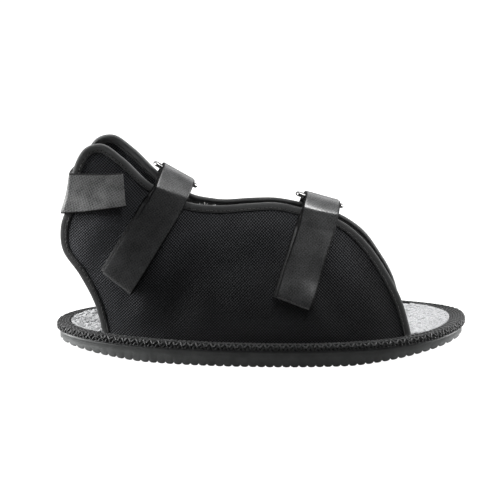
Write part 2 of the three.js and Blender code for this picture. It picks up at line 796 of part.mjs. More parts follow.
// The heel strap runs from the near wall round the open back to the far wall
function makeHeelStrap() {
  const lift = bindingClear + bindingThickness + strapClear;
  const tilt = Math.tan(THREE.MathUtils.degToRad(heelStrapTilt));
  const columns = acrossStrap.map((share) => {
    const k = share * strapWidth;
    const front = stationX(heelStrapReachShare) - k * tilt;
    const middle = heelStrapHeightShare * collarHeight;
    const heightAt = (x) => middle + k + (x - front) * tilt;
    const column = [];
    const edges = [-1, 1].map((side) => {
      const u = solve((t) => thread(t, 1, side).y - heightAt(thread(t, 1, side).x), ...backShare);
      return thread(u, 1, side).x - lift;
    });
    const wallPair = (x, side) => {
      const a = onWall(x, heightAt(x), side, lift);
      const b = onWall(x, heightAt(x), side, lift + heelStrapThickness);
      return { a: a.point, b: b.point };
    };
    for (let n = 0; n < heelSideSteps; n += 1) {
      const x = THREE.MathUtils.lerp(front, edges[0], n / heelSideSteps);
      column.push(wallPair(x, -1));
    }
    const from = wallPair(edges[0], -1);
    const to = wallPair(edges[1], 1);
    const fromWay = from.a.clone().sub(wallPair(edges[0] + 1, -1).a).normalize();
    const toWay = to.a.clone().sub(wallPair(edges[1] + 1, 1).a).normalize();
    const pull = from.a.distanceTo(to.a) * heelStrapFullness;
    const round = ['a', 'b'].map(
      (face) =>
        new THREE.CubicBezierCurve3(
          from[face],
          from[face].clone().addScaledVector(fromWay, pull),
          to[face].clone().addScaledVector(toWay, pull),
          to[face],
        ),
    );
    for (let n = 0; n <= heelTurnSteps; n += 1) {
      const [a, b] = round.map((curve) => curve.getPoint(n / heelTurnSteps));
      column.push({ a, b });
    }
    for (let n = heelSideSteps - 1; n >= 0; n -= 1) {
      const x = THREE.MathUtils.lerp(front, edges[1], n / heelSideSteps);
      column.push(wallPair(x, 1));
    }
    return column;
  });
  return ribbon(columns[0].map((_, n) => columns.map((column) => column[n])));
}

const group = new THREE.Group();
const finishes = {
  rubber: { color: 0x2c2f2e, roughness: 0.75, metalness: 0 },
  felt: { color: 0xb9babc, roughness: 1, metalness: 0 },
  trim: { color: 0x2a2b2d, roughness: 0.9, metalness: 0 },
  mesh: { color: 0x1d1e20, roughness: 0.85, metalness: 0 },
  tape: { color: 0x353637, roughness: 0.8, metalness: 0 },
  webbing: { color: 0x2b2c2e, roughness: 0.95, metalness: 0 },
  steel: { color: 0xc4c6c8, roughness: 0.2, metalness: 1 },
};

function addPiece(name, geometry, finish) {
  const mesh = new THREE.Mesh(geometry, new THREE.MeshStandardMaterial(finishes[finish]));
  mesh.name = name;
  group.add(mesh);
}

addPiece('outsole', makeOutsole(), 'rubber');
addPiece('edge_trim', makeTrim(), 'trim');
addPiece('upper', makeUpper(), 'mesh');
addPiece('footbed', makeFootbed(), 'felt');
addPiece('binding_near', makeBinding(-1), 'tape');
addPiece('binding_far', makeBinding(1), 'tape');
for (const strap of straps) {
  addPiece(`strap_${strap.name}`, makeStrap(strap), 'webbing');
  addPiece(`ring_${strap.name}`, makeRing(strap), 'steel');
  addPiece(`tab_${strap.name}`, makeTab(strap), 'webbing');
}
addPiece('strap_heel', makeHeelStrap(), 'webbing');

export default group;
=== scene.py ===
"""An open-heel, open-toe cast boot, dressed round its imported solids.

Lengths are in millimetres until a mesh is made, and in metres from there on. +X runs to the
toe, +Y to the side where the rings are held, +Z up, with the origin on the floor.
"""

import math

import bmesh
import bpy
import numpy as np
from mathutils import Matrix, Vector


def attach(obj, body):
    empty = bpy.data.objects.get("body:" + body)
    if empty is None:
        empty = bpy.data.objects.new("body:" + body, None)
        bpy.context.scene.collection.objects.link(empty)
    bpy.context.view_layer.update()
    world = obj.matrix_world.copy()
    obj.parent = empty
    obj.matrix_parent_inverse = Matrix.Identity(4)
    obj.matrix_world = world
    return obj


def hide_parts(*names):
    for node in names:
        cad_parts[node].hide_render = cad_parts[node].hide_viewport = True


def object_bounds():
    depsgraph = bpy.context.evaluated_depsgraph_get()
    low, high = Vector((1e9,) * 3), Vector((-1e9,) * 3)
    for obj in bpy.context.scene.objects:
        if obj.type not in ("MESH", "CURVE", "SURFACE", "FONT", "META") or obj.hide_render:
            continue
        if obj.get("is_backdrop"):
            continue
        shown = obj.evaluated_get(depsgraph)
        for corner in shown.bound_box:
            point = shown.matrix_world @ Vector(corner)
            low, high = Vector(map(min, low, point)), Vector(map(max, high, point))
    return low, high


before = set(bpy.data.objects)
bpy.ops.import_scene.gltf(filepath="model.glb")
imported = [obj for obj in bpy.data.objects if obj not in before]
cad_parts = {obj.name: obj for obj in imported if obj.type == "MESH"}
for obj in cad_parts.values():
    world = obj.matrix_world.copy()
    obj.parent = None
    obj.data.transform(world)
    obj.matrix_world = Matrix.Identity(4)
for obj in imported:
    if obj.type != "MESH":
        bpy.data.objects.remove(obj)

bl_info = {
    "name": "Cast boot",
    "version": (1, 0, 0),
    "blender": (4, 5, 0),
    "location": "3D View > Sidebar > Cast boot",
    "description": "Builds a rippled-sole cast boot with turned-back straps",
    "category": "Object",
}

CAD_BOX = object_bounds()
BODY = "root"
MM = 0.001
NEAR, FAR = -1, 1

# Sole, in the solids' own sizes
SOLE_LENGTH = 286.0
HALF_WIDTH = 56.5
WIDEST_SHARE = 0.572
HEEL_POWER = 2.06
TOE_POWER = 2.1
DECK = 11.7
OUTSOLE_INSET = 1.4
FLAT_HEEL, FLAT_TOE = 0.22, 0.71
HEEL_RISE, HEEL_RISE_POWER = 5.2, 1.3
TOE_RISE, TOE_RISE_POWER = 9.5, 1.4
TOE_SPRING, TOE_SPRING_POWER = 4.2, 3
RIPPLE_PITCH, RIPPLE_DEPTH, RIPPLE_SQUARENESS, RIPPLE_STEPS = 5.7, 1.8, 2.6, 12
TRIM_HEIGHT, TRIM_SIDE, TRIM_HEEL, TRIM_TOE = 5.0, 2.7, 9.2, 10.2
TRIM_SHOULDER, TRIM_RIDGE, TRIM_RIDGE_PITCH = 0.12, 0.16, 1.9
FOOTBED_THICKNESS = 3.6

# Upper
COLLAR_HEIGHT = 147.0
WALL = 1.6
MARGIN_WIDTH, MARGIN_GIRTH = 12.0, 700.0
CLOTH_RISE = 1.06  # length up the leaning cloth for each millimetre of height
THROAT_HALF_GAP, COLLAR_HALF_GAP = 8.0, 14.5
WALL_LEAN_POWER = 1.45
HIGHEST_RISE = 1.2
FAR_COLLAR_SHIFT, FAR_TOE_SHIFT, FAR_THROAT_DROP = 5.6, 2.4, 1.4
BINDING_WIDTH, BINDING_THICKNESS = 4.4, 0.8

# Straps and rings
STRAP_WIDTH, STRAP_THICKNESS = 24.6, 1.6
RING_WIRE, RING_CLEAR, RING_SPARE, RING_REACH, RING_CORNER = 3.0, 0.8, 2.2, 8.5, 2.4
RING_FALL = 10.0
TAB_LENGTH = 30.0
HEEL_STRAP_REACH, HEEL_STRAP_HEIGHT = 0.173, 0.7857 * COLLAR_HEIGHT
HEEL_STRAP_THICKNESS, HEEL_STRAP_TILT, HEEL_STRAP_FULLNESS = 1.1, 5.0, 0.08

# Stations between which the far wall's shifts fade in or out, as shares of the sole's length
FAR_REAR_FADE, FAR_THROAT_FADE, FAR_TOE_FADE = (0.34, 0.44), (0.55, 0.72), (0.73, 0.81)

# Clearances
GAP = 0.3
FOOTBED_CLEAR = 0.6
STRAP_CLEAR = 0.6
BINDING_CLEAR = 0.75
CORNER_CLEAR, CORNER_RUN = 2.0, 1.5
EDGE_INSET = BINDING_CLEAR + BINDING_THICKNESS
MARGIN_BASE = GAP
TRIM_BASE = GAP
FOOTBED_BASE = MARGIN_BASE + WALL + GAP
SOLE_TOP = max(TRIM_BASE + TRIM_HEIGHT, FOOTBED_BASE + FOOTBED_THICKNESS)
# Fine shares of the free edge, to find where a strap crosses it
THROAT_SHARES, BACK_SHARES = np.linspace(0.44, 0.9, 4001), np.linspace(0.12, 0.42, 4001)

# The bound free edge of a wall: where its thread leaves the sole and the knot's own station,
# as shares of the sole's length, and its height as a share of the collar's
FREE_EDGE = [
    (0.119, 0.119, 0), (0.134, 0.099, 0.25), (0.152, 0.063, 0.385), (0.182, 0.022, 0.497),
    (0.212, 0.018, 0.61), (0.24, 0.042, 0.75), (0.262, 0.0515, 0.885), (0.284, 0.08, 0.98),
    (0.308, 0.122, 1), (0.334, 0.172, 0.936), (0.364, 0.237, 0.814), (0.404, 0.316, 0.722),
    (0.45, 0.385, 0.7), (0.516, 0.478, 0.71), (0.564, 0.536, 0.712), (0.612, 0.598, 0.687),
    (0.68, 0.692, 0.625), (0.738, 0.755, 0.53), (0.792, 0.802, 0.41), (0.835, 0.84, 0.27),
    (0.866, 0.866, 0),
]
# The walls' ridge line by station: its height, and how open the walls stand there
RIDGE = [
    (0.0, 1.0, 1), (0.14, 1.01, 1), (0.2, 0.93, 0.8), (0.26, 0.83, 0.4), (0.33, 0.73, 0),
    (0.5, 0.72, 0), (0.61, 0.69, 0), (0.72, 0.6, 0.15), (0.8, 0.555, 0.3), (1.0, 0.42, 0.5),
]
RIDGE_UP, RIDGE_OPEN = 1, 2
# How far the heel's back line lies behind the footbed's heel end, by height
BACK_LINE = [
    (0, 0), (0.06, 0), (0.2, 0.022), (0.4, 0.05), (0.55, 0.054), (0.7, 0.036), (0.86, 0.02),
    (1.02, 0.012),
]
STRAPS = {
    "ankle": {"along": 0.2745, "tilt": 31.2, "slant": 30, "length": 65.5, "cut": 6, "rise": 12.5},
    "instep": {"along": 0.638, "tilt": 19.3, "slant": 16, "length": 57, "cut": 4, "rise": 7.5},
}
# Soft troughs and ridges of the wall cloth: which wall, station and height of the middle,
# degrees that it leans from the level, half its length and half its width, and how far it
# stands out
CREASES = [
    (NEAR, 0.23, 0.33, 72, 34, 9, 0.9), (NEAR, 0.30, 0.30, 80, 30, 7, -0.8),
    (NEAR, 0.36, 0.27, 84, 26, 8, 0.6), (NEAR, 0.44, 0.55, 12, 30, 11, 0.9),
    (NEAR, 0.51, 0.62, -4, 26, 9, 0.7), (NEAR, 0.47, 0.44, 8, 36, 10, -0.7),
    (NEAR, 0.60, 0.36, -62, 30, 9, 0.8), (NEAR, 0.66, 0.30, -66, 28, 8, -0.7),
    (NEAR, 0.74, 0.34, -58, 26, 9, 0.6), (NEAR, 0.10, 0.62, 62, 24, 9, 0.8),
    (NEAR, 0.14, 0.52, 58, 26, 8, -0.6), (NEAR, 0.55, 0.22, 5, 40, 9, -0.5),
    (FAR, 0.25, 0.36, 70, 30, 9, 0.9), (FAR, 0.33, 0.32, 82, 28, 8, -0.7),
    (FAR, 0.46, 0.50, 10, 34, 11, 0.9), (FAR, 0.57, 0.40, -50, 30, 9, -0.7),
    (FAR, 0.68, 0.34, -62, 28, 9, 0.7), (FAR, 0.12, 0.60, 60, 24, 9, 0.8),
]
CREASE_START = (6, 22)  # heights over the wall's foot between which the folds set in


def station(share):
    return (share - 0.5) * SOLE_LENGTH


WIDEST_X = station(WIDEST_SHARE)
OUTER = (HALF_WIDTH, -SOLE_LENGTH / 2, SOLE_LENGTH / 2)
INNER = (HALF_WIDTH - TRIM_SIDE, OUTER[1] + TRIM_HEEL, OUTER[2] - TRIM_TOE)


def fade(x, shares):
    """From 0 to 1 between two stations given as shares of the sole's length"""
    return ramp(x, station(shares[0]), station(shares[1]))


def shrunk(oval, inset):
    half, heel, toe = oval
    return half - inset, heel + inset, toe - inset


WALL_OVAL = shrunk(INNER, GAP)


def ramp(value, start, end):
    t = np.clip((value - start) / (end - start), 0, 1)
    return t * t * (3 - 2 * t)


def normalised(ways):
    return ways / np.linalg.norm(ways, axis=-1, keepdims=True)


def read_table(table, column, at):
    """Smooth reading of a table's column, by its first one"""
    rows = np.array(table, float)
    keys, values = rows[:, 0], rows[:, column]
    order = np.arange(len(keys))
    before, after = np.maximum(order - 1, 0), np.minimum(order + 1, len(keys) - 1)
    slope = (values[after] - values[before]) / (keys[after] - keys[before])
    row = np.clip(np.searchsorted(keys, at) - 1, 0, len(keys) - 2)
    span = keys[row + 1] - keys[row]
    t = np.clip((at - keys[row]) / span, 0, 1)
    t2, t3 = t * t, t * t * t
    return (
        (2 * t3 - 3 * t2 + 1) * values[row]
        + (t3 - 2 * t2 + t) * span * slope[row]
        + (3 * t2 - 2 * t3) * values[row + 1]
        + (t3 - t2) * span * slope[row + 1]
    )


def deck(x):
    """Height of the top of the outsole"""
    t = np.maximum(0, (x - station(FLAT_TOE)) / (OUTER[2] - station(FLAT_TOE)))
    return DECK + TOE_SPRING * t**TOE_SPRING_POWER


def ground(x):
    """Height of the feet of the outsole's ripples"""
    heel = np.maximum(0, (station(FLAT_HEEL) - x) / (station(FLAT_HEEL) - OUTER[1]))
    toe = np.maximum(0, (x - station(FLAT_TOE)) / (OUTER[2] - station(FLAT_TOE)))
    return HEEL_RISE * heel**HEEL_RISE_POWER + TOE_RISE * toe**TOE_RISE_POWER


def oval_half(oval, x):
    half, heel, toe = oval
    toeward = x >= WIDEST_X
    reach = np.where(toeward, toe - WIDEST_X, WIDEST_X - heel)
    power = np.where(toeward, TOE_POWER, HEEL_POWER)
    t = np.minimum(1, np.abs(x - WIDEST_X) / reach)
    return half * (1 - t**power) ** (1 / power)


def oval_points(oval, turn):
    half, heel, toe = oval
    c, s = np.cos(turn), np.sin(turn)
    power = np.where(c >= 0, TOE_POWER, HEEL_POWER)
    reach = np.where(c >= 0, toe - WIDEST_X, heel - WIDEST_X)
    x = WIDEST_X + reach * np.abs(c) ** (2 / power)
    return x, half * np.sign(s) * np.abs(s) ** (2 / power)


def wall_foot(x):
    return deck(x) + MARGIN_BASE + WALL / 2


def creases(x, z, side):
    """How far the cloth of one wall stands out at the listed soft folds"""
    out = np.zeros(np.broadcast(x, z).shape)
    for wall, along, up, lean, long_half, wide_half, height in CREASES:
        if wall != side:
            continue
        dx, dz = x - station(along), z - up * COLLAR_HEIGHT
        c, s = math.cos(math.radians(lean)), math.sin(math.radians(lean))
        way, off = (dx * c + dz * s) / long_half, (dz * c - dx * s) / wide_half
        out = out + height * np.exp(-(way**4)) * np.exp(-(off**2))
    return out * ramp(z, *(wall_foot(x) + up for up in CREASE_START))


def wall_half(x, z, side):
    """Half distance between the outsides of the walls, with the cloth's folds"""
    foot = wall_foot(x)
    behind = read_table(BACK_LINE, 1, (z - foot) / (COLLAR_HEIGHT - foot)) * SOLE_LENGTH
    half = oval_half((WALL_OVAL[0], WALL_OVAL[1] - behind, WALL_OVAL[2]), x)
    along = x / SOLE_LENGTH + 0.5
    ridge = read_table(RIDGE, RIDGE_UP, along) * COLLAR_HEIGHT
    top = THROAT_HALF_GAP + (COLLAR_HALF_GAP - THROAT_HALF_GAP) * read_table(
        RIDGE, RIDGE_OPEN, along
    )
    lean = np.clip((z - foot) / (ridge - foot), 0, HIGHEST_RISE) ** WALL_LEAN_POWER
    return half + (np.minimum(top, half) - half) * lean + creases(x, z, side)


def on_wall(x, z, side, lift=0.0):
    """Points on the outside of a wall, moved outwards by lift"""
    x, z = np.broadcast_arrays(np.asarray(x, float), np.asarray(z, float))
    step = 0.5
    slope_x = (wall_half(x + step, z, side) - wall_half(x - step, z, side)) / (2 * step)
    slope_z = (wall_half(x, z + step, side) - wall_half(x, z - step, side)) / (2 * step)
    normal = normalised(np.stack([-slope_x, np.ones_like(x), -slope_z], -1))
    point = np.stack([x, wall_half(x, z, side), z], -1) + normal * np.asarray(lift)[..., None]
    return point * (1, side, 1)


def wall_normal(x, z, side):
    return on_wall(x, z, side, 1.0) - on_wall(x, z, side, 0.0)


def edge_knots():
    rows = np.array(FREE_EDGE, float)
    x = station(rows[:, 1])
    z = np.where(rows[:, 2] == 0, wall_foot(x), rows[:, 2] * COLLAR_HEIGHT)
    return np.stack([x, z, station(rows[:, 0])], -1)


EDGE_KNOTS = edge_knots()


def edge_point(u):
    """The free edge by centripetal spline: station, height and station of its foot"""
    knots = EDGE_KNOTS
    spans = len(knots) - 1
    p = np.clip(np.asarray(u, float), 0, 1) * spans
    i = np.minimum(np.floor(p).astype(int), spans - 1)
    t = (p - i)[..., None]
    rows = np.vstack([2 * knots[0] - knots[1], knots, 2 * knots[-1] - knots[-2]])
    p0, p1, p2, p3 = (rows[i + n] for n in range(4))
    d0, d1, d2 = (
        np.sqrt(np.linalg.norm(b - a, axis=-1, keepdims=True))
        for a, b in ((p0, p1), (p1, p2), (p2, p3))
    )
    m1 = ((p1 - p0) / d0 - (p2 - p0) / (d0 + d1) + (p2 - p1) / d1) * d1
    m2 = ((p2 - p1) / d1 - (p3 - p1) / (d1 + d2) + (p3 - p2) / d2) * d1
    return (
        p1 + m1 * t + (3 * (p2 - p1) - 2 * m1 - m2) * t**2
        + (2 * (p1 - p2) + m1 + m2) * t**3
    )


def thread(u, v, side):
    """Station and height at share u of the free edge and v of the way up from the foot"""
    step = 1e-4
    knot = edge_point(u)
    way = edge_point(np.minimum(np.asarray(u) + step, 1))
    way = way - edge_point(np.maximum(np.asarray(u) - step, 0))
    fold = np.stack([way[..., 1], -way[..., 0]], -1)
    fold *= EDGE_INSET / np.linalg.norm(fold, axis=-1, keepdims=True)
    low = 1 - np.clip((knot[..., 1] - wall_foot(knot[..., 0])) / (2 * BINDING_WIDTH), 0, 1)
    end_x, end_z = knot[..., 0] + fold[..., 0], knot[..., 1] + fold[..., 1]
    start_x = knot[..., 2] + fold[..., 0] * low
    if side == FAR:
        rear = 1 - fade(end_x, FAR_REAR_FADE)
        throat = (1 - rear) * (1 - fade(end_x, FAR_THROAT_FADE))
        end_z = end_z - FAR_THROAT_DROP * throat
        high = ramp(end_z, 0.6 * COLLAR_HEIGHT, 0.75 * COLLAR_HEIGHT)
        end_x = end_x + FAR_COLLAR_SHIFT * rear * high
        end_x = end_x - FAR_TOE_SHIFT * fade(end_x, FAR_TOE_FADE)
        start_x = start_x - FAR_TOE_SHIFT * fade(start_x, FAR_TOE_FADE)
    start_z = wall_foot(start_x)
    end_z = end_z + (wall_foot(end_x) - end_z) * low * low
    return start_x + (end_x - start_x) * v, start_z + (end_z - start_z) * v


def girth(x, z, side):
    """Length along the cloth from the middle of the boot to x, at height z"""
    steps = np.linspace(0, 1, 25)
    at = x[..., None] * steps
    half = wall_half(at, z[..., None], side)
    pieces = np.hypot(np.diff(at, axis=-1), np.diff(half, axis=-1))
    return np.sign(x) * pieces.sum(-1)


NOISE_CELLS = 128


def soft_noise(x, y, pitch, seed):
    """Smooth random heights from -1 to 1"""
    heights = np.random.default_rng(seed).uniform(-1, 1, (NOISE_CELLS, NOISE_CELLS))
    gx, gy = np.asarray(x) / pitch, np.asarray(y) / pitch
    i, j = np.floor(gx).astype(int), np.floor(gy).astype(int)
    s, t = gx - i, gy - j
    s, t = s * s * (3 - 2 * s), t * t * (3 - 2 * t)

    def corner(a, b):
        return heights[(i + a) % NOISE_CELLS, (j + b) % NOISE_CELLS]

    low = corner(0, 0) * (1 - s) + corner(1, 0) * s
    high = corner(0, 1) * (1 - s) + corner(1, 1) * s
    return low * (1 - t) + high * t


def run_lengths(points):
    """Length along a row of points, from its start"""
    steps = np.linalg.norm(np.diff(points, axis=0), axis=-1)
    return np.concatenate([[0], np.cumsum(steps)])


SEWN_WITHIN = 1e-6  # metres between points that are sewn into one


class Form:
    """Grids of points, in millimetres, that are sewn into one mesh"""

    def __init__(self):
        self.points, self.faces, self.uvs = [], [], []
        self.count = 0

    def add_grid(self, grid, u, v, loop_u=False, loop_v=False, caps=False):
        """Quads over grid. u and v are its lengths along and across; one more of either
        where the grid is a loop. caps closes the first and last row with a face each."""
        rows, columns = grid.shape[:2]
        base = self.count
        self.points.append(grid.reshape(-1, 3))
        self.count += rows * columns
        u, v = np.asarray(u, float), np.asarray(v, float)
        if u.ndim == 1:
            u, v = np.meshgrid(u, v, indexing="ij")
        for i in range(rows if loop_u else rows - 1):
            k = (i + 1) % rows
            for j in range(columns if loop_v else columns - 1):
                n = (j + 1) % columns
                corners = ((i, j), (k, j), (k, n), (i, n))
                self.faces.append(tuple(base + a * columns + b for a, b in corners))
                for a, b in ((i, j), (i + 1, j), (i + 1, j + 1), (i, j + 1)):
                    self.uvs.append((u[a, b], v[a, b]))
        if caps:
            for row in (0, rows - 1):
                self.faces.append(tuple(base + row * columns + j for j in range(columns)))
                self.uvs += [(u[row, j], v[row, j]) for j in range(columns)]

    def mesh(self, name, crease_degrees):
        mesh = bpy.data.meshes.new(name)
        mesh.from_pydata((np.vstack(self.points) * MM).tolist(), [], self.faces)
        layer = mesh.uv_layers.new(name="UVMap")
        layer.data.foreach_set("uv", np.array(self.uvs, np.float32).ravel())
        work = bmesh.new()
        work.from_mesh(mesh)
        bmesh.ops.remove_doubles(work, verts=work.verts, dist=SEWN_WITHIN)
        bmesh.ops.dissolve_degenerate(work, edges=work.edges, dist=SEWN_WITHIN / 10)
        bmesh.ops.recalc_face_normals(work, faces=work.faces)
        work.to_mesh(mesh)
        work.free()
        mesh.shade_smooth()
        mesh.set_sharp_from_angle(angle=math.radians(crease_degrees))
        return mesh


def one_grid(grid, u, v, **closing):
    form = Form()
    form.add_grid(grid, u, v, **closing)
    return form


def add_piece(context, name, mesh, material, slot, replaced=()):
    """Puts a finished mesh in the scene as a piece of the boot"""
    if not mesh.polygons:
        raise RuntimeError(f"{name} came out empty")
    if material is not None:
        mesh.materials.clear()
        mesh.materials.append(material)
    piece = bpy.data.objects.new(name, mesh)
    context.scene.collection.objects.link(piece)
    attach(piece, BODY)
    if replaced:
        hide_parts(*replaced)
    return piece


# Nodes

def put(tree, kind, links=None, **settings):
    """Adds a node; links gives each input a value or another node's output"""
    node = tree.nodes.new(kind)
    for name, value in settings.items():
        setattr(node, name, value)
    for name, value in (links or {}).items():
        if isinstance(value, bpy.types.NodeSocket):
            tree.links.new(value, node.inputs[name])
        else:
            node.inputs[name].default_value = value
    return node


def math_node(tree, operation, *values):
    links = dict(enumerate(values))
    return put(tree, "ShaderNodeMath", links, operation=operation).outputs[0]


def vector_node(tree, operation, first, second):
    links = {0: first, "Scale" if operation == "SCALE" else 1: second}
    return put(tree, "ShaderNodeVectorMath", links, operation=operation).outputs[0]


def map_range(tree, value, start, end, low=0.0, high=1.0, smooth=False):
    links = {"Value": value, "From Min": start, "From Max": end, "To Min": low, "To Max": high}
    curve = "SMOOTHSTEP" if smooth else "LINEAR"
    return put(tree, "ShaderNodeMapRange", links, interpolation_type=curve).outputs[0]


def parts_of(tree, vector):
    return put(tree, "ShaderNodeSeparateXYZ", {0: vector}).outputs


def combined(tree, *values):
    return put(tree, "ShaderNodeCombineXYZ", dict(enumerate(values))).outputs[0]


def mixed_masks(tree, first, share, second):
    """share of the first mask and the rest of the second"""
    rest = math_node(tree, "MULTIPLY", second, 1 - share)
    return math_node(tree, "MULTIPLY_ADD", first, share, rest)


def fix_inputs(shader, **values):
    """Sets the shader's own sockets, each named with underscores for its spaces"""
    for name, value in values.items():
        shader.inputs[name.replace("_", " ")].default_value = value


def new_group(kind, name, inputs, outputs):
    """A node group whose inputs and outputs are given by name, each with its kind"""
    tree = bpy.data.node_groups.new(name, kind)
    for way, sockets in (("INPUT", inputs), ("OUTPUT", outputs)):
        for label, socket in sockets.items():
            tree.interface.new_socket(label, in_out=way, socket_type=f"NodeSocket{socket}")
    return tree, put(tree, "NodeGroupInput").outputs, put(tree, "NodeGroupOutput").inputs


def pattern_group(name, inputs, outputs):
    """A shader group that takes a place in a pattern, in millimetres, and plain numbers"""
    links = {"Vector": "Vector", **dict.fromkeys(inputs, "Float")}
    return new_group("ShaderNodeTree", f"boot {name}", links, dict.fromkeys(outputs, "Float"))


def growing_group(name, inputs):
    """A Geometry Nodes group that takes a mesh, plain numbers, a seed and a material"""
    links = {"Geometry": "Geometry", **dict.fromkeys(inputs, "Float")}
    links.update(Seed="Int", Material="Material")
    return new_group("GeometryNodeTree", f"boot {name}", links, {"Geometry": "Geometry"})


def turned_about_z(tree, vector, angle):
    links = {"Vector": vector, "Angle": angle}
    return put(tree, "ShaderNodeVectorRotate", links, rotation_type="Z_AXIS").outputs[0]


def noise(tree, vector, scale, detail, **more):
    links = {"Vector": vector, "Scale": scale, "Detail": detail, **more}
    return put(tree, "ShaderNodeTexNoise", links).outputs["Fac"]


def weave_group():
    """Crossing rounded threads on a flat pattern in millimetres"""
    tree, given, out = pattern_group("weave", ["Pitch", "Angle"], ["Height", "Holes"])
    turned = turned_about_z(tree, given["Vector"], given["Angle"])
    scale = math_node(tree, "DIVIDE", 2 * math.pi, given["Pitch"])
    at = parts_of(tree, vector_node(tree, "SCALE", turned, scale))
    crossed = math_node(tree, "ADD", *(math_node(tree, "SINE", at[n]) for n in (0, 1)))
    height = math_node(tree, "MULTIPLY_ADD", crossed, 0.25, 0.5)
    tree.links.new(height, out["Height"])
    tree.links.new(map_range(tree, height, 0.34, 0.12, smooth=True), out["Holes"])
    return tree


def rib_group():
    """Raised ribs across one direction of a flat pattern in millimetres, slightly uneven"""
    tree, given, out = pattern_group("ribs", ["Pitch", "Angle", "Waver"], ["Height"])
    at = parts_of(tree, turned_about_z(tree, given["Vector"], given["Angle"]))[0]
    uneven = math_node(tree, "SUBTRACT", noise(tree, given["Vector"], 0.6, 1.0), 0.5)
    moved = math_node(tree, "MULTIPLY_ADD", uneven, given["Waver"], at)
    rows = math_node(tree, "DIVIDE", moved, given["Pitch"])
    turns = math_node(tree, "MULTIPLY", rows, 2 * math.pi)
    height = math_node(tree, "MULTIPLY_ADD", math_node(tree, "SINE", turns), 0.5, 0.5)
    tree.links.new(height, out["Height"])
    return tree


def nap_group():
    """Brushed fibre: fine streaks that run along the pattern, over soft clumps"""
    tree, given, out = pattern_group("nap", ["Fibre", "Stretch", "Clump"], ["Height", "Clumps"])
    squeeze = combined(tree, given["Stretch"], 1.0, given["Stretch"])
    fine = vector_node(tree, "MULTIPLY", given["Vector"], squeeze)
    streaks = noise(tree, fine, given["Fibre"], 3.0, Roughness=0.7)
    clumps = noise(tree, given["Vector"], given["Clump"], 2.0)
    tree.links.new(math_node(tree, "MULTIPLY_ADD", clumps, 0.35, streaks), out["Height"])
    tree.links.new(clumps, out["Clumps"])
    return tree


def mottle_group():
    """Uneven shade of dyed or moulded stuff, with a few pale specks"""
    tree, given, out = pattern_group("mottle", ["Size", "Speck"], ["Mask", "Specks"])
    broad = noise(tree, given["Vector"], given["Size"], 4.0, Roughness=0.6)
    tree.links.new(map_range(tree, broad, 0.3, 0.7), out["Mask"])
    fine = noise(tree, given["Vector"], given["Speck"], 1.0)
    tree.links.new(map_range(tree, fine, 0.7, 0.78, smooth=True), out["Specks"])
    return tree


GROUP_MAKERS = {
    "weave": weave_group, "ribs": rib_group, "nap": nap_group, "mottle": mottle_group,
}


def placed_group(tree, name, **links):
    """Places a shared group in a material, made the first time that it is asked for"""
    group = bpy.data.node_groups.get(f"boot {name}") or GROUP_MAKERS[name]()
    return put(tree, "ShaderNodeGroup", links, node_tree=group).outputs


def placed_weave(tree, vector, size_name, degrees):
    """The weave at one of the pitches that a user may change"""
    pitch = getattr(bpy.context.scene.boot_sizes, size_name) / MM
    return placed_group(tree, "weave", Vector=vector, Pitch=pitch, Angle=math.radians(degrees))


def start_material(name):
    """A new material's tree with its shader, and the pattern's place in millimetres"""
    material = bpy.data.materials.new(name)
    material.use_nodes = True
    tree = material.node_tree
    tree.nodes.clear()
    shader = put(tree, "ShaderNodeBsdfPrincipled")
    out = put(tree, "ShaderNodeOutputMaterial", {"Surface": shader.outputs[0]})
    out.location = (400, 0)
    coordinates = put(tree, "ShaderNodeTexCoord").outputs
    place = vector_node(tree, "SCALE", coordinates["Object"], 1 / MM)
    return material, tree, shader, coordinates["UV"], place


def shade(tree, shader, colour, low, high, mask):
    """Base colour between two shades of one colour by a mask"""
    mix = put(tree, "ShaderNodeMix", {"Factor": mask}, data_type="RGBA", blend_type="MIX")
    for socket, factor in ((mix.inputs[6], low), (mix.inputs[7], high)):
        socket.default_value = (*(min(1.0, part * factor) for part in colour), 1)
    tree.links.new(mix.outputs[2], shader.inputs["Base Color"])


def emboss(tree, shader, *heights):
    """Bump from heights, each with how deep it is in millimetres"""
    normal = None
    for height, depth in heights:
        links = {"Height": height, "Distance": depth * MM, "Strength": 1.0}
        if normal is not None:
            links["Normal"] = normal
        normal = put(tree, "ShaderNodeBump", links).outputs[0]
    tree.links.new(normal, shader.inputs["Normal"])


def roughen(tree, shader, mask, low, high):
    tree.links.new(map_range(tree, mask, 0, 1, low, high), shader.inputs["Roughness"])


def cloth_material(name, colour):
    """Mesh of crossing threads, with painted light making it paler towards the heel and the collar
    """
    material, tree, shader, uv, place = start_material(name)
    weave = placed_weave(tree, uv, "weave_pitch", 45)
    mottle = placed_group(tree, "mottle", Vector=place, Size=0.03, Speck=0.9)
    crown = map_range(tree, weave["Height"], 0.38, 0.85, smooth=True)
    raised = mixed_masks(tree, mottle["Mask"], 0.2, crown)
    at = parts_of(tree, place)
    # Painted light: the colour grows paler towards the heel and towards the collar, where light
    # falls on the leaning wall
    rear = map_range(tree, at[0], -60.0, -120.0)
    high = map_range(tree, at[2], 50.0, 110.0)
    pale = math_node(tree, "MULTIPLY_ADD", rear, 1.9, high)
    painted_light = math_node(tree, "MULTIPLY_ADD", pale, 0.78, 0.42)
    shade(tree, shader, colour, 0.02, 7.6, math_node(tree, "MULTIPLY", raised, painted_light))
    roughen(tree, shader, weave["Holes"], 0.6, 0.95)
    fix_inputs(shader, Specular_IOR_Level=0.08, Sheen_Weight=0.03, Sheen_Roughness=0.4)
    emboss(tree, shader, (weave["Height"], 0.36))
    return material


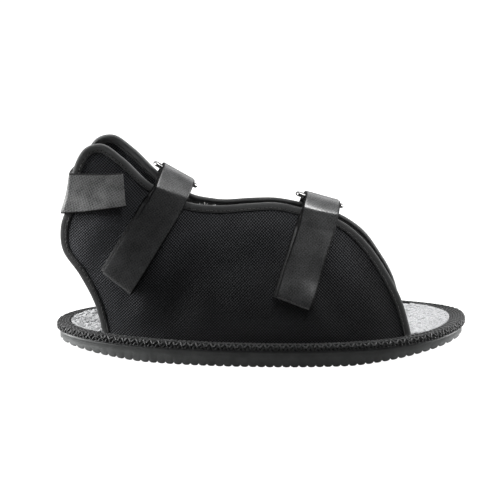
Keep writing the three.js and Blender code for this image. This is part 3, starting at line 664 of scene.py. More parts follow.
def tape_material(name, colour):
    """Fine ribbed tape, with painted shade darkening it along the groove at its seam and painted
    light making it paler high up
    """
    material, tree, shader, uv, place = start_material(name)
    ribs = placed_group(tree, "ribs", Vector=uv, Pitch=0.9, Angle=0.0, Waver=0.3)
    nap = placed_group(tree, "nap", Vector=uv, Fibre=1.6, Stretch=0.4, Clump=0.2)
    # Painted shade: the base colour darkens along the groove where the tape is sewn down
    off_seam = math_node(tree, "SUBTRACT", parts_of(tree, uv)[1], SEAM_PLACE)
    painted_seam_shade = map_range(tree, math_node(tree, "ABSOLUTE", off_seam), 0.35, 0.6)
    # Painted light: the tape grows paler high up; this is multiplied by the nap's real clumps
    high = map_range(tree, parts_of(tree, place)[2], 90.0, 125.0, 0.28, 1.0)
    clumps = math_node(tree, "MULTIPLY_ADD", nap["Clumps"], 0.5, 0.5)
    painted_light = math_node(tree, "MULTIPLY", clumps, high)
    shade(tree, shader, colour, 0.1, 2.1, math_node(tree, "MULTIPLY", painted_light, painted_seam_shade))
    roughen(tree, shader, nap["Height"], 0.7, 0.9)
    fix_inputs(shader, Specular_IOR_Level=0.25, Sheen_Weight=0.15, Sheen_Roughness=0.45)
    emboss(tree, shader, (ribs["Height"], 0.08), (nap["Height"], 0.12))
    return material


# Over the same span, the webbing's base colour darkens towards its edges as painted shade
DULL_SHADED_EDGE = (11.7, 11.0)  # of webbing: where its face starts to shine and where it does fully


def webbing_material(name, colour, gloss, sheen, fibre):
    """Brushed face over a faint knit, glossy but for its two dull edges, where painted shade also
    darkens the base colour
    """
    material, tree, shader, uv, place = start_material(name)
    nap = placed_group(tree, "nap", Vector=uv, Fibre=fibre, Stretch=0.9, Clump=0.1)
    knit = placed_weave(tree, uv, "knit_pitch", 28)
    mottle = placed_group(tree, "mottle", Vector=place, Size=0.12, Speck=1.3)
    grain = mixed_masks(tree, knit["Height"], 0.14, nap["Height"])
    across = math_node(tree, "ABSOLUTE", parts_of(tree, uv)[1])
    inside = map_range(tree, across, *DULL_SHADED_EDGE)
    seen = map_range(tree, grain, 0.5, 0.8)
    # Painted shade: the base colour darkens towards the two edges, where the layers shade each
    # other
    shade(tree, shader, colour, 0.15, 2.3, math_node(tree, "MULTIPLY", seen, inside))
    roughen(tree, shader, mottle["Mask"], 0.45, 0.6)
    brushed = math_node(tree, "MULTIPLY_ADD", seen, 0.7 * gloss, 0.6 * gloss)
    tree.links.new(math_node(tree, "MULTIPLY", inside, brushed), shader.inputs["Coat Weight"])
    fix_inputs(
        shader, Specular_IOR_Level=0.03, Coat_Roughness=0.32, Coat_IOR=1.82, Sheen_Weight=sheen,
        Sheen_Roughness=0.35,
    )
    emboss(tree, shader, (knit["Height"], 0.06), (nap["Height"], 0.22))
    return material


def felt_material(name, colour):
    """Matted pale fibres over soft clumps"""
    material, tree, shader, _, place = start_material(name)
    nap = placed_group(tree, "nap", Vector=place, Fibre=1.1, Stretch=0.8, Clump=0.28)
    mottle = placed_group(tree, "mottle", Vector=place, Size=0.16, Speck=0.7)
    shade(tree, shader, colour, 0.6, 1.3, mixed_masks(tree, mottle["Mask"], 0.4, nap["Height"]))
    roughen(tree, shader, nap["Clumps"], 0.9, 1.0)
    fix_inputs(shader, Sheen_Weight=0.3)
    emboss(tree, shader, (nap["Height"], 0.8))
    return material


def rubber_material(name, colour):
    """Moulded rubber with a slightly uneven skin"""
    material, tree, shader, _, place = start_material(name)
    mottle = placed_group(tree, "mottle", Vector=place, Size=0.09, Speck=1.6)
    nap = placed_group(tree, "nap", Vector=place, Fibre=0.9, Stretch=1.0, Clump=0.12)
    shade(tree, shader, colour, 0.7, 1.4, mottle["Mask"])
    roughen(tree, shader, mottle["Mask"], 0.42, 0.6)
    fix_inputs(shader, Specular_IOR_Level=0.6)
    emboss(tree, shader, (nap["Height"], 0.1), (mottle["Specks"], 0.08))
    return material


def trim_material(name, colour):
    """Knitted band with cords along it"""
    material, tree, shader, uv, place = start_material(name)
    knit = placed_weave(tree, uv, "trim_pitch", 40)
    across = math.radians(90)
    cords = placed_group(tree, "ribs", Vector=uv, Pitch=TRIM_RIDGE_PITCH, Angle=across, Waver=0.2)
    mottle = placed_group(tree, "mottle", Vector=place, Size=0.25, Speck=1.0)
    crown = map_range(tree, knit["Height"], 0.35, 0.8)
    shade(tree, shader, colour, 0.08, 2.6, mixed_masks(tree, mottle["Mask"], 0.3, crown))
    roughen(tree, shader, knit["Height"], 0.85, 0.6)
    fix_inputs(shader, Specular_IOR_Level=0.35)
    emboss(tree, shader, (cords["Height"], 0.2), (knit["Height"], 0.5))
    return material


def plain_material(name, colour, speck, shades, roughness, depth, metallic=0.0):
    """Thread or wire, with a little unevenness: speck gives the size of it"""
    material, tree, shader, _, place = start_material(name)
    mottle = placed_group(tree, "mottle", Vector=place, Size=speck, Speck=2.0)
    shade(tree, shader, colour, *shades, mottle["Mask"])
    roughen(tree, shader, mottle["Mask"], *roughness)
    fix_inputs(shader, Metallic=metallic)
    emboss(tree, shader, (mottle["Mask"], depth))
    return material


THREAD = (plain_material, 1.1, (0.6, 1.4), (0.5, 0.7), 0.05)
# Each finish: the colour that it takes, how it is made and the values of its own
FINISHES = {
    "black_mesh_cloth": ("cloth", cloth_material),
    "folded_tape": ("tape", tape_material),
    "brushed_webbing": ("webbing", webbing_material, 1.0, 0.01, 1.15),
    "charcoal_loop_cloth": ("loop", webbing_material, 0.1, 0.02, 2.0),
    "grey_felt": ("felt", felt_material),
    "moulded_rubber": ("rubber", rubber_material),
    "twill_trim": ("trim", trim_material),
    "trim_thread": ("trim_thread", *THREAD),
    "seam_thread": ("seam_thread", *THREAD),
    "pale_lint": ("lint", *THREAD),
    "nickel_wire": ("steel", plain_material, 0.5, (0.85, 1.0), (0.2, 0.3), 0.01, 1.0),
}


def finish(name):
    """A material by its plain name, made the first time that it is asked for"""
    colour, make, *values = FINISHES[name]
    made = bpy.data.materials.get(name)
    return made or make(name, getattr(bpy.context.scene.boot_colours, colour), *values)


# Geometry Nodes

def arc_of_thread(tree, given, steps):
    """A short rounded thread that arches over its middle"""
    half = math_node(tree, "MULTIPLY", given["Length"], 0.5)
    start = combined(tree, math_node(tree, "MULTIPLY", half, -1.0))
    middle = combined(tree, 0.0, 0.0, math_node(tree, "MULTIPLY", given["Arch"], 2.0))
    links = {"Resolution": steps, "Start": start, "Middle": middle, "End": combined(tree, half)}
    line = put(tree, "GeometryNodeCurveQuadraticBezier", links).outputs[0]
    links = {"Resolution": 6, "Radius": given["Radius"]}
    section = put(tree, "GeometryNodeCurvePrimitiveCircle", links).outputs[0]
    links = {"Curve": line, "Profile Curve": section, "Fill Caps": True}
    return put(tree, "GeometryNodeCurveToMesh", links).outputs[0]


def aligned(tree, vector, **more):
    links = {"Vector": vector}
    if "rotation" in more:
        links["Rotation"] = more.pop("rotation")
    return put(tree, "FunctionNodeAlignRotationToVector", links, **more).outputs[0]


def random_vector(tree, seed, low, high):
    links = {"Seed": seed, "Min": low, "Max": high}
    return put(tree, "FunctionNodeRandomValue", links, data_type="FLOAT_VECTOR").outputs[0]


def place_threads(tree, spots, thread_mesh, rotation, turn, scale, given, out):
    """Threads on points, each with a further turn of its own, as one mesh of one material"""
    links = {"Rotation": rotation, "Rotate By": turn}
    turned = put(tree, "FunctionNodeRotateRotation", links, rotation_space="LOCAL").outputs[0]
    links = {"Points": spots["Points"], "Instance": thread_mesh, "Rotation": turned, "Scale": scale}
    placed = put(tree, "GeometryNodeInstanceOnPoints", links).outputs[0]
    real = put(tree, "GeometryNodeRealizeInstances", {"Geometry": placed}).outputs[0]
    smooth = put(tree, "GeometryNodeSetShadeSmooth", {"Geometry": real}).outputs[0]
    links = {"Geometry": smooth, "Material": given["Material"]}
    dyed = put(tree, "GeometryNodeSetMaterial", links).outputs[0]
    tree.links.new(dyed, out["Geometry"])


def stitch_tree():
    """Stitches at an even pitch along a path whose points carry the way that they face"""
    inputs = ["Pitch", "Length", "Radius", "Arch", "Lean", "Alternate", "Jitter"]
    tree, given, out = growing_group("stitches", inputs)
    line = put(tree, "GeometryNodeMeshToCurve", {"Mesh": given["Geometry"]}).outputs[0]
    links = {"Curve": line, "Length": given["Pitch"]}
    spots = put(tree, "GeometryNodeCurveToPoints", links, mode="LENGTH").outputs
    links = {"Name": "facing"}
    facing = put(tree, "GeometryNodeInputNamedAttribute", links, data_type="FLOAT_VECTOR")
    along = aligned(tree, spots["Tangent"], axis="X")
    upright = aligned(
        tree, facing.outputs["Attribute"], rotation=along, axis="Z", pivot_axis="X"
    )
    odd = math_node(tree, "MODULO", put(tree, "GeometryNodeInputIndex").outputs[0], 2.0)
    alternate = math_node(tree, "MULTIPLY", odd, given["Alternate"])
    sign = math_node(tree, "MULTIPLY_ADD", alternate, -2.0, 1.0)
    loose = random_vector(tree, given["Seed"], (-1, -1, -1), (1, 1, 1))
    shake = parts_of(tree, vector_node(tree, "SCALE", loose, given["Jitter"]))
    lean = math_node(tree, "MULTIPLY_ADD", given["Lean"], sign, shake[0])
    links = {"Axis": (0, 0, 1), "Angle": lean}
    spin = put(tree, "FunctionNodeAxisAngleToRotation", links).outputs[0]
    size = math_node(tree, "ADD", shake[1], 1.0)
    place_threads(tree, spots, arc_of_thread(tree, given, 6), upright, spin, size, given, out)
    return tree


def tuft_tree():
    """Short curled fibres that stand or lie anyhow on a surface"""
    tree, given, out = growing_group("tufts", ["Density", "Length", "Radius", "Arch", "Lie"])
    links = {"Mesh": given["Geometry"], "Density": given["Density"], "Seed": given["Seed"]}
    kind = "GeometryNodeDistributePointsOnFaces"
    spots = put(tree, kind, links, distribute_method="RANDOM").outputs
    upright = aligned(tree, spots["Normal"], axis="Z")
    spread = parts_of(tree, random_vector(tree, given["Seed"], (-1, -1, 0.6), (1, 1, 1.4)))
    tips = [math_node(tree, "MULTIPLY", spread[n], given["Lie"]) for n in (0, 1)]
    swing = combined(tree, *tips, math_node(tree, "MULTIPLY", spread[0], 40.0))
    turn = put(tree, "FunctionNodeEulerToRotation", {0: swing}).outputs[0]
    fibre = arc_of_thread(tree, given, 4)
    place_threads(tree, spots, fibre, upright, turn, spread[2], given, out)
    return tree


TREE_MAKERS = {"stitches": stitch_tree, "tufts": tuft_tree}


def grown_mesh(context, carrier_mesh, tree_name, name, values):
    """Runs a Geometry Nodes tree on a mesh and returns the plain mesh that it makes"""
    tree = bpy.data.node_groups.get(f"boot {tree_name}") or TREE_MAKERS[tree_name]()
    carrier = bpy.data.objects.new(f"{name}_path", carrier_mesh)
    context.scene.collection.objects.link(carrier)
    modifier = carrier.modifiers.new(tree_name, "NODES")
    modifier.node_group = tree
    for item in tree.interface.items_tree:
        if item.in_out == "INPUT" and item.name in values:
            modifier[item.identifier] = values[item.name]
    context.view_layer.update()
    depsgraph = context.evaluated_depsgraph_get()
    mesh = bpy.data.meshes.new_from_object(carrier.evaluated_get(depsgraph), depsgraph=depsgraph)
    mesh.name = name
    carrier.modifiers.remove(modifier)
    bpy.data.objects.remove(carrier)
    return mesh


def path_mesh(name, rows):
    """Open paths, each of points and the ways that they face, as a mesh of edges"""
    points, facings, edges = [], [], []
    for line, normals in rows:
        base = len(points)
        points += (np.asarray(line) * MM).tolist()
        facings += np.asarray(normals).tolist()
        edges += [(base + n, base + n + 1) for n in range(len(line) - 1)]
    mesh = bpy.data.meshes.new(name)
    mesh.from_pydata(points, edges, [])
    attribute = mesh.attributes.new("facing", "FLOAT_VECTOR", "POINT")
    attribute.data.foreach_set("vector", np.array(facings, np.float32).ravel())
    return mesh


def add_stitches(
    context, name, rows, material, slot, pitch, length, radius, arch, seed, lean=0.0,
    alternate=0.0, jitter=0.08,
):
    """Sews stitches along paths; lengths are in millimetres and lean in degrees"""
    values = {
        "Pitch": pitch * MM, "Length": length * MM, "Radius": radius * MM, "Arch": arch * MM,
        "Lean": math.radians(lean), "Alternate": alternate, "Jitter": jitter, "Seed": seed,
        "Material": finish(material),
    }
    mesh = grown_mesh(context, path_mesh(name, rows), "stitches", name, values)
    add_piece(context, name, mesh, None, slot)


def add_tufts(context, name, carrier, material, slot, **values):
    """Grows loose fibres on a mesh; values are the tree's own, in metres"""
    values["Material"] = finish(material)
    mesh = grown_mesh(context, carrier, "tufts", name, values)
    add_piece(context, name, mesh, None, slot)


def add_form(context, form, name, crease_degrees, material, slot, node):
    """Sews a form and puts it in the place of a solid's node"""
    mesh = form.mesh(name, crease_degrees)
    return add_piece(context, name, mesh, finish(material), slot, [node])


# Forms

# The outsole's side: inset with height over the ripples, then inset with depth under the top
SOLE_FOOT = [(6.0, 0.0), (1.2, 0.0), (0.55, 0.12), (0.15, 0.5), (0.0, 1.1)]
SOLE_LIP = [
    (-0.05, 5.0), (0.0, 2.1), (-0.45, 1.7), (-0.6, 1.1), (-0.45, 0.45), (0.0, 0.05), (1.6, 0.0),
]


def outsole_form():
    """The rubber slab, from heel to toe, with rounded ripple lobes and a lipped top edge"""
    oval = shrunk(OUTER, OUTSOLE_INSET)
    ends = oval_points(oval, np.linspace(0, math.pi, 181))[0]
    steps = np.arange(oval[1], oval[2], RIPPLE_PITCH / RIPPLE_STEPS)
    xs = np.unique(np.round(np.concatenate([steps, ends]), 3))
    half = oval_half(oval, xs)
    phase = np.abs(xs / RIPPLE_PITCH - np.round(xs / RIPPLE_PITCH)) * 2
    lobe = 1 - np.sqrt(np.maximum(0, 1 - phase**RIPPLE_SQUARENESS))
    low = ground(xs) + RIPPLE_DEPTH * lobe
    top = deck(xs)
    room = np.clip(half / 3, 0, 1)
    side = [(half - inset * room, low + up) for inset, up in SOLE_FOOT]
    side += [(half - inset * room, top - down) for inset, down in SOLE_LIP]
    grid = [[(x, -y, z) for x, y, z in zip(xs, *part)] for part in side[::-1]]
    grid += [[(x, y, z) for x, y, z in zip(xs, *part)] for part in side]
    rings = np.array(grid).transpose(1, 0, 2)
    return one_grid(rings, xs, np.arange(rings.shape[1] + 1), loop_v=True, caps=True)


def band_rings(outer, inner, turns, section):
    """Rings of points between two ovals: section gives how far in, a further inset and height"""
    ax, ay = oval_points(outer, turns)
    bx, by = oval_points(inner, turns)
    width = np.hypot(bx - ax, by - ay)
    columns = []
    for inward, inset, up in section:
        share = inward + inset / width
        x, y = ax + (bx - ax) * share, ay + (by - ay) * share
        columns.append(np.stack([x, y, deck(x) + up], -1))
    return np.stack(columns, 1), width


def trim_line(turns, inward, inset, up):
    """One line of points round the trim"""
    return band_rings(OUTER, INNER, turns, [(inward, inset, up)])[0][:, 0]


# The trim's outer face: inset with height over its base, then inset with depth under its top
TRIM_FACE = [(0.7, 0.0), (0.2, 0.7), (0.0, 1.7), (0.05, 2.9)]
TRIM_BROW = [(0.3, 1.1), (0.8, 0.4), (1.5, 0.05)]


def trim_form():
    """The twill band: a rounded outer face and low ridges along its top"""
    turns = np.linspace(0, 2 * math.pi, 721)[:-1]
    top = TRIM_BASE + TRIM_HEIGHT
    section = [(0, inset, TRIM_BASE + up) for inset, up in TRIM_FACE]
    section += [(0, inset, top - down) for inset, down in TRIM_BROW]
    across = np.linspace(TRIM_SHOULDER, 1, 30)
    section += [(share, -0.15 * (share == 1), top) for share in across]
    section += [(1, 0, top - 0.5), (1, 0, TRIM_BASE)]
    rings, width = band_rings(OUTER, INNER, turns, section)
    flat = np.array([s[0] for s in section])
    ridged = (flat > TRIM_SHOULDER) & (flat < 1)
    waves = np.cos(2 * math.pi * flat[None, :] * width[:, None] / TRIM_RIDGE_PITCH)
    ridge = TRIM_RIDGE * waves * np.clip(width / 6, 0, 1)[:, None] - TRIM_RIDGE / 2
    rings[..., 2] += np.where(ridged[None, :], ridge, 0)
    middle = rings[:, 3]
    around = run_lengths(np.vstack([middle, middle[:1]]))
    up = run_lengths(rings[0])
    return one_grid(rings, around, np.append(up, up[-1] + TRIM_HEIGHT), loop_u=True, loop_v=True)


def footbed_outline():
    """Stations and half widths of the felt, inside the walls and out to the trim"""
    top = FOOTBED_BASE + FOOTBED_THICKNESS
    rear = station(FREE_EDGE[0][1]) - CORNER_CLEAR
    toe = station(FREE_EDGE[-1][1]) + CORNER_CLEAR
    ends = oval_points(WALL_OVAL, np.linspace(0, math.pi, 301))[0]
    steps = np.arange(WALL_OVAL[1], WALL_OVAL[2], 1.3)
    xs = np.unique(np.round(np.concatenate([ends, steps]), 3))
    walls = on_wall(xs, deck(xs) + top, FAR, -WALL - FOOTBED_CLEAR)[:, 1]
    free = oval_half(WALL_OVAL, xs)
    open_share = ramp(xs, toe, toe + CORNER_RUN) + 1 - ramp(xs, rear - CORNER_RUN, rear)
    return xs, np.where(free < walls, free, walls + (free - walls) * open_share)


# The felt's nubs, higher behind the stations of their fade, its broad swells and its soft edge
NUB_HEIGHT, HEEL_NUB_RISE, NUB_FADE, SWELL_HEIGHT = 0.22, 0.28, (0.25, 0.6), 0.25
SOFT_EDGE_WIDTH, SOFT_EDGE_DROP = 1.6, 0.9


def footbed_form():
    """The felt slab with a nubby top that is coarser at the heel, and a soft uneven edge"""
    xs, half = footbed_outline()
    shares = np.sin(np.linspace(-1, 1, 73) * math.pi / 2)
    x, share = np.meshgrid(xs, shares, indexing="ij")
    y = half[:, None] * share
    coarse = 1 - fade(x, NUB_FADE)
    nubs = soft_noise(x, y, 1.7, 3) + 0.6 * soft_noise(x, y, 0.9, 4)
    nubs = nubs * (NUB_HEIGHT + HEEL_NUB_RISE * coarse) + SWELL_HEIGHT * soft_noise(x, y, 9, 5)
    edge = np.clip((1 - np.abs(share)) * half[:, None] / SOFT_EDGE_WIDTH, 0, 1)
    drop = SOFT_EDGE_DROP * (1 - np.sqrt(1 - (1 - edge) ** 2))
    top = deck(x) + FOOTBED_BASE + FOOTBED_THICKNESS - drop
    upper = np.stack([x, y, top + nubs * edge * np.clip(half[:, None] / 4, 0, 1)], -1)
    lower = np.stack([x, y * 0.995, deck(x) + FOOTBED_BASE + 0 * x], -1)[:, ::-1]
    rings = np.concatenate([upper, lower], axis=1)
    return one_grid(rings, xs, np.arange(rings.shape[1] + 1), loop_v=True, caps=True)


def upper_form():
    """Two walls of cloth on one margin that is turned in under the footbed"""
    form = Form()
    shares = np.linspace(0, 1, 261)
    ups = np.linspace(0, 1, 49)
    u, v = np.meshgrid(shares, ups, indexing="ij")
    for side in (NEAR, FAR):
        x, z = thread(u, v, side)
        outside = on_wall(x, z, side, 0.0)
        inside = on_wall(x, z, side, -WALL)
        grid = np.concatenate([outside, inside[:, ::-1]], axis=1)
        around, up = girth(x, z, side), z * CLOTH_RISE
        lengths = np.concatenate([around, around[:, ::-1], around[:, :1]], axis=1)
        heights = np.concatenate([up, up[:, ::-1], up[:, :1]], axis=1)
        form.add_grid(grid, lengths, heights, loop_v=True, caps=True)
    turns = np.linspace(0, 2 * math.pi, 361)[:-1]
    low, high = MARGIN_BASE + 0.1, MARGIN_BASE + WALL
    section = [(0.02, 0, low), (1, 0, low), (1, 0, high), (0.02, 0, high)]
    rings, _ = band_rings(WALL_OVAL, shrunk(WALL_OVAL, MARGIN_WIDTH), turns, section)
    around = np.linspace(0, MARGIN_GIRTH, len(turns) + 1)
    across = np.cumsum([0, MARGIN_WIDTH, WALL, MARGIN_WIDTH, WALL])
    form.add_grid(rings, around, across, loop_u=True, loop_v=True)
    return form


def binding_frame(side, shares):
    """Along a wall's free edge: its points, and the way in over the wall, as x and z"""
    step = 2e-3
    x, z = thread(shares, 1, side)
    ahead = on_wall(*thread(np.minimum(shares + step, 1), 1, side), side)
    behind = on_wall(*thread(np.maximum(shares - step, 0), 1, side), side)
    inward = -side * np.cross(normalised(ahead - behind), wall_normal(x, z, side))
    return x, z, inward


def moved_in(x, z, inward, depth):
    return x + inward[:, 0] * depth, z + inward[:, 2] * depth


# The binding's section: depth in from the cloth's edge, and height over the cloth's face
BINDING_LEG = [
    (4.4, 0.1), (4.4, 0.4), (4.2, 0.64), (3.85, 0.74), (3.4, 0.68), (3.05, 0.6), (2.7, 0.7),
    (1.8, 0.86), (0.9, 0.96),
]
# The fold round the cloth's edge: where it starts, how far it bulges and how square it is
FOLD_START, FOLD_BULGE, FOLD_SQUARENESS, FOLD_STEPS = 0.3, 1.0, 0.8, 9
# The seam: depth in from the cloth's edge, height, and place along the section from its start
SEAM_DEPTH, SEAM_LIFT, SEAM_PLACE = 3.1, 0.66, 1.8


def binding_form(side):
    """Tape folded over a wall's free edge, with a dent where it is sewn down"""
    shares = np.linspace(0.004, 0.996, 421)
    x, z, inward = binding_frame(side, shares)
    section = list(BINDING_LEG)
    for angle in np.linspace(math.pi / 2, -math.pi / 2, FOLD_STEPS):
        out = math.cos(angle) ** FOLD_SQUARENESS
        up = math.copysign(abs(math.sin(angle)) ** FOLD_SQUARENESS, angle)
        depth = FOLD_START - (EDGE_INSET + FOLD_START) * out
        section.append((depth, (FOLD_BULGE + WALL / 2) * up - WALL / 2))
    section += [(d, -WALL - h) for d, h in BINDING_LEG[::-1]]
    section += [(-0.25, -WALL - 0.1), (-0.25, 0.1)]
    floor = deck(x) + SOLE_TOP + 0.1
    columns = []
    for depth, lift in section:
        at = on_wall(*moved_in(x, z, inward, depth), side, lift)
        at[:, 2] = np.maximum(at[:, 2], floor)
        columns.append(at)
    rings = np.stack(columns, 1)
    along = run_lengths(rings[:, len(BINDING_LEG) + 4])
    across = run_lengths(rings[len(shares) // 2])
    return one_grid(rings, along, np.append(across, across[-1] + 1), loop_v=True, caps=True)


def binding_seams(side):
    """Where the binding is sewn down, on the outside and on the inside of its wall"""
    shares = np.linspace(0.025, 0.975, 500)
    x, z, inward = binding_frame(side, shares)
    at = moved_in(x, z, inward, SEAM_DEPTH)
    rows = []
    for face, lift in ((1, SEAM_LIFT), (-1, -WALL - SEAM_LIFT)):
        line = on_wall(*at, side, lift)
        facing = wall_normal(x, z, side) * face
        clear = line[:, 2] > deck(line[:, 0]) + SOLE_TOP + 1.5
        rows.append((line[clear], facing[clear]))
    return rows


def bezier(start, start_way, end, end_way, pulls, t):
    """Points and ways of a bend between two ends; the ways have unit length"""
    reach = np.linalg.norm(end - start)
    a, d = start, end
    b, c = start + start_way * reach * pulls[0], end - end_way * reach * pulls[1]
    t = t[:, None]
    points = a * (1 - t) ** 3 + 3 * b * t * (1 - t) ** 2 + 3 * c * t**2 * (1 - t) + d * t**3
    ways = (b - a) * (1 - t) ** 2 + 2 * (c - b) * t * (1 - t) + (d - c) * t**2
    return points, normalised(ways)


SHOULDER = 4.0  # how far a strap stands off where it comes down over the wall's edge
SHOULDER_DROP = 3.0  # how far below the edge's top it starts to do so
LAYER_SHIFT = 2.2  # how far the turned-back layer lies off the one under it
LAYER_SHARES = (-0.6, 0.4)  # of that shift, for the layer up to the ring and the one back down
BEND_PULLS = [(0.4, 0.4), (0.3, 0.12)]  # of the same two layers
STRAP_CLIMB = (2.5, 1.3)  # binding widths below the wall's edge between which a strap climbs
# Stations up the wall, over its binding, along each bend, round the ring and back down
WALL_STEPS, CLIMB_STEPS, BEND_STEPS, TURN_STEPS, RETURN_STEPS = 40, 24, 17, 18, 60
TIP_LIFT, TIP_RUN = 0.8, 16  # how far the turned-back end curls off, and over what length

# Places across a strap, closer together at its edges, and its thickness there
RIM = [0.45, 0.48, 0.494, 0.5]
ACROSS = np.concatenate([-np.array(RIM[::-1]), np.linspace(-0.4, 0.4, 17), RIM])
EDGE_ROUNDING = np.clip(1 - ((np.abs(ACROSS) - 0.47) / 0.031).clip(0) ** 2, 0.25, 1)


def unit(angle):
    return np.array([math.sin(math.radians(angle)), math.cos(math.radians(angle))])


def strap_frame(strap):
    """A strap's crossing of the near wall's edge, the way up along it and across it"""
    up = unit(strap["tilt"])
    slant = math.radians(strap["slant"])
    across = np.array([math.cos(slant), -math.sin(slant)])
    u = np.interp(station(strap["along"]), thread(THROAT_SHARES, 1, NEAR)[0], THROAT_SHARES)
    return up, across, np.array(thread(u, 1, NEAR))


def ring_bars(strap):
    fall = math.radians(RING_FALL)
    near = np.array([0.0, strap["rise"]])
    way = np.array([math.cos(fall), -math.sin(fall)])
    return near, near + way * RING_REACH, way


def turned_stations(strap, side, length, fullness, centre, way):
    """A strip up a wall, round a ring's bar and back down over itself, as pairs of points"""
    up, across, origin = strap_frame(strap)
    t = STRAP_THICKNESS
    k = ACROSS * STRAP_WIDTH
    apart = np.array([up[1], -up[0]])
    edge = np.stack(thread(THROAT_SHARES, 1, side), -1)
    reaches = []
    for share in np.linspace(-0.5, 0.5, 5):
        start = origin + across * share * STRAP_WIDTH
        u = np.interp(0, (edge - start) @ apart, THROAT_SHARES)
        reaches.append((np.array(thread(u, 1, side)) - start) @ up)
    reach = max(reaches) + EDGE_INSET
    over_binding = EDGE_INSET + STRAP_CLEAR
    climb_from, climb_to = (min(reaches) - share * BINDING_WIDTH for share in STRAP_CLIMB)
    end_slope = math.tan(math.radians(strap["cut"]))
    shoulder = reach - SHOULDER_DROP

    def on_side(height, layer):
        low = np.clip((climb_from - height) / (climb_from + length), 0, 1)
        along = height - k * end_slope * low
        shift = LAYER_SHIFT * LAYER_SHARES[layer] * ramp(reach - along, 2, 14)
        at = origin + np.outer(along, up) + np.outer(k, across) + shift[:, None] * across
        near = ramp(along, climb_from, climb_to)
        lift = STRAP_CLEAR + near * (over_binding - STRAP_CLEAR) + layer * (t + GAP)
        if layer:
            lift = lift + TIP_LIFT * ramp(-along, length - TIP_RUN, length) + taut(height)
        inner = on_wall(at[:, 0], at[:, 1], side, lift)
        outer = on_wall(at[:, 0], at[:, 1], side, lift + t)
        return np.stack([outer, inner] if layer else [inner, outer], 1)

    def taut(height):
        """How far the layer stands off the wall to run straight down from its shoulder"""
        heights = np.linspace(-length, shoulder, WALL_STEPS)
        mid = origin + np.outer(heights, up)
        out = wall_half(mid[:, 0], mid[:, 1], side)
        out = out + ramp(heights, climb_from, climb_to) * (over_binding - STRAP_CLEAR)
        below = heights[:-1]
        share = np.clip((height - below) / (shoulder - below), 0, 1)
        chords = np.where(height >= below, out[:-1] + (out[-1] + fullness - out[:-1]) * share, 0)
        return max(0.0, chords.max() - np.interp(height, heights, out))

    def free(point, direction):
        turn = np.array([-direction[1], direction[0]]) * t / 2
        pair = []
        for p in (point - turn, point + turn):
            at = origin + up * p[1] + np.outer(k, across)
            pair.append(np.stack([at[:, 0], np.full(len(k), -side * p[0]), at[:, 1]], -1))
        return np.stack(pair, 1)

    def flatten(pairs):
        mid = pairs[len(k) // 2].mean(0)
        return np.array([-side * mid[1], (mid[[0, 2]] - origin) @ up])

    start = flatten(on_side(reach, 0))
    start_way = normalised(start - flatten(on_side(reach - 1, 0)))
    end = flatten(on_side(shoulder, 1))
    end_way = normalised(flatten(on_side(shoulder - 1, 1)) - end)
    turn_in = np.array([-way[1], way[0]]) * (RING_WIRE / 2 + GAP + t / 2)
    under, over = centre - turn_in, centre + turn_in
    stations = [on_side(h, 0) for h in np.linspace(-length, climb_from, WALL_STEPS)]
    stations += [on_side(h, 0) for h in np.linspace(climb_from, reach, CLIMB_STEPS)[1:]]
    steps = np.linspace(0, 1, BEND_STEPS)
    for layer, first, ends in (
        (0, 0, (start, start_way, under, way)),
        (1, 1, (over, -way, end, end_way)),
    ):
        points, ways = bezier(*ends, BEND_PULLS[layer], steps)
        wall = on_side(shoulder if layer else reach, layer)
        ideal = free(points[-first], ways[-first])
        for s, point, direction in zip(steps, points, ways):
            hold = (1 - abs(s - first)) ** 2
            stations.append(free(point, direction) + (wall - ideal) * hold)
        if layer == 0:
            for angle in np.linspace(0, math.pi, TURN_STEPS)[1:-1]:
                c, s = math.cos(angle), math.sin(angle)
                spin = np.array([[c, -s], [s, c]])
                stations.append(free(centre + spin @ (under - centre), spin @ way))
    stations += [on_side(h, 1) for h in np.linspace(shoulder, -length, RETURN_STEPS)[1:]]
    return np.array(stations)


def ribbon_form(stations):
    """Webbing from pairs of points on its two faces, with rounded edges and ends"""
    middle = stations.mean(2)
    half = (stations[:, :, 1] - stations[:, :, 0]) / 2
    count = len(stations)
    ends = np.minimum(np.arange(count), count - 1 - np.arange(count))
    thin = np.where(ends == 0, 0.4, 1.0)[:, None, None] * EDGE_ROUNDING[None, :, None]
    top, under = middle + half * thin, middle - half * thin
    rings = np.concatenate([under, top[:, ::-1]], axis=1)
    along = run_lengths(middle[:, middle.shape[1] // 2])
    across = ACROSS * STRAP_WIDTH
    width = np.concatenate([across, across[::-1], across[:1]])
    return one_grid(rings, along, width, loop_v=True, caps=True)


def strap_forms(strap):
    near, far, way = ring_bars(strap)
    mirrored = (np.array([-far[0], far[1]]), np.array([way[0], -way[1]]))
    yield NEAR, ribbon_form(
        turned_stations(strap, NEAR, strap["length"], SHOULDER, near, way)
    )
    yield FAR, ribbon_form(turned_stations(strap, FAR, TAB_LENGTH, 0.6, *mirrored))


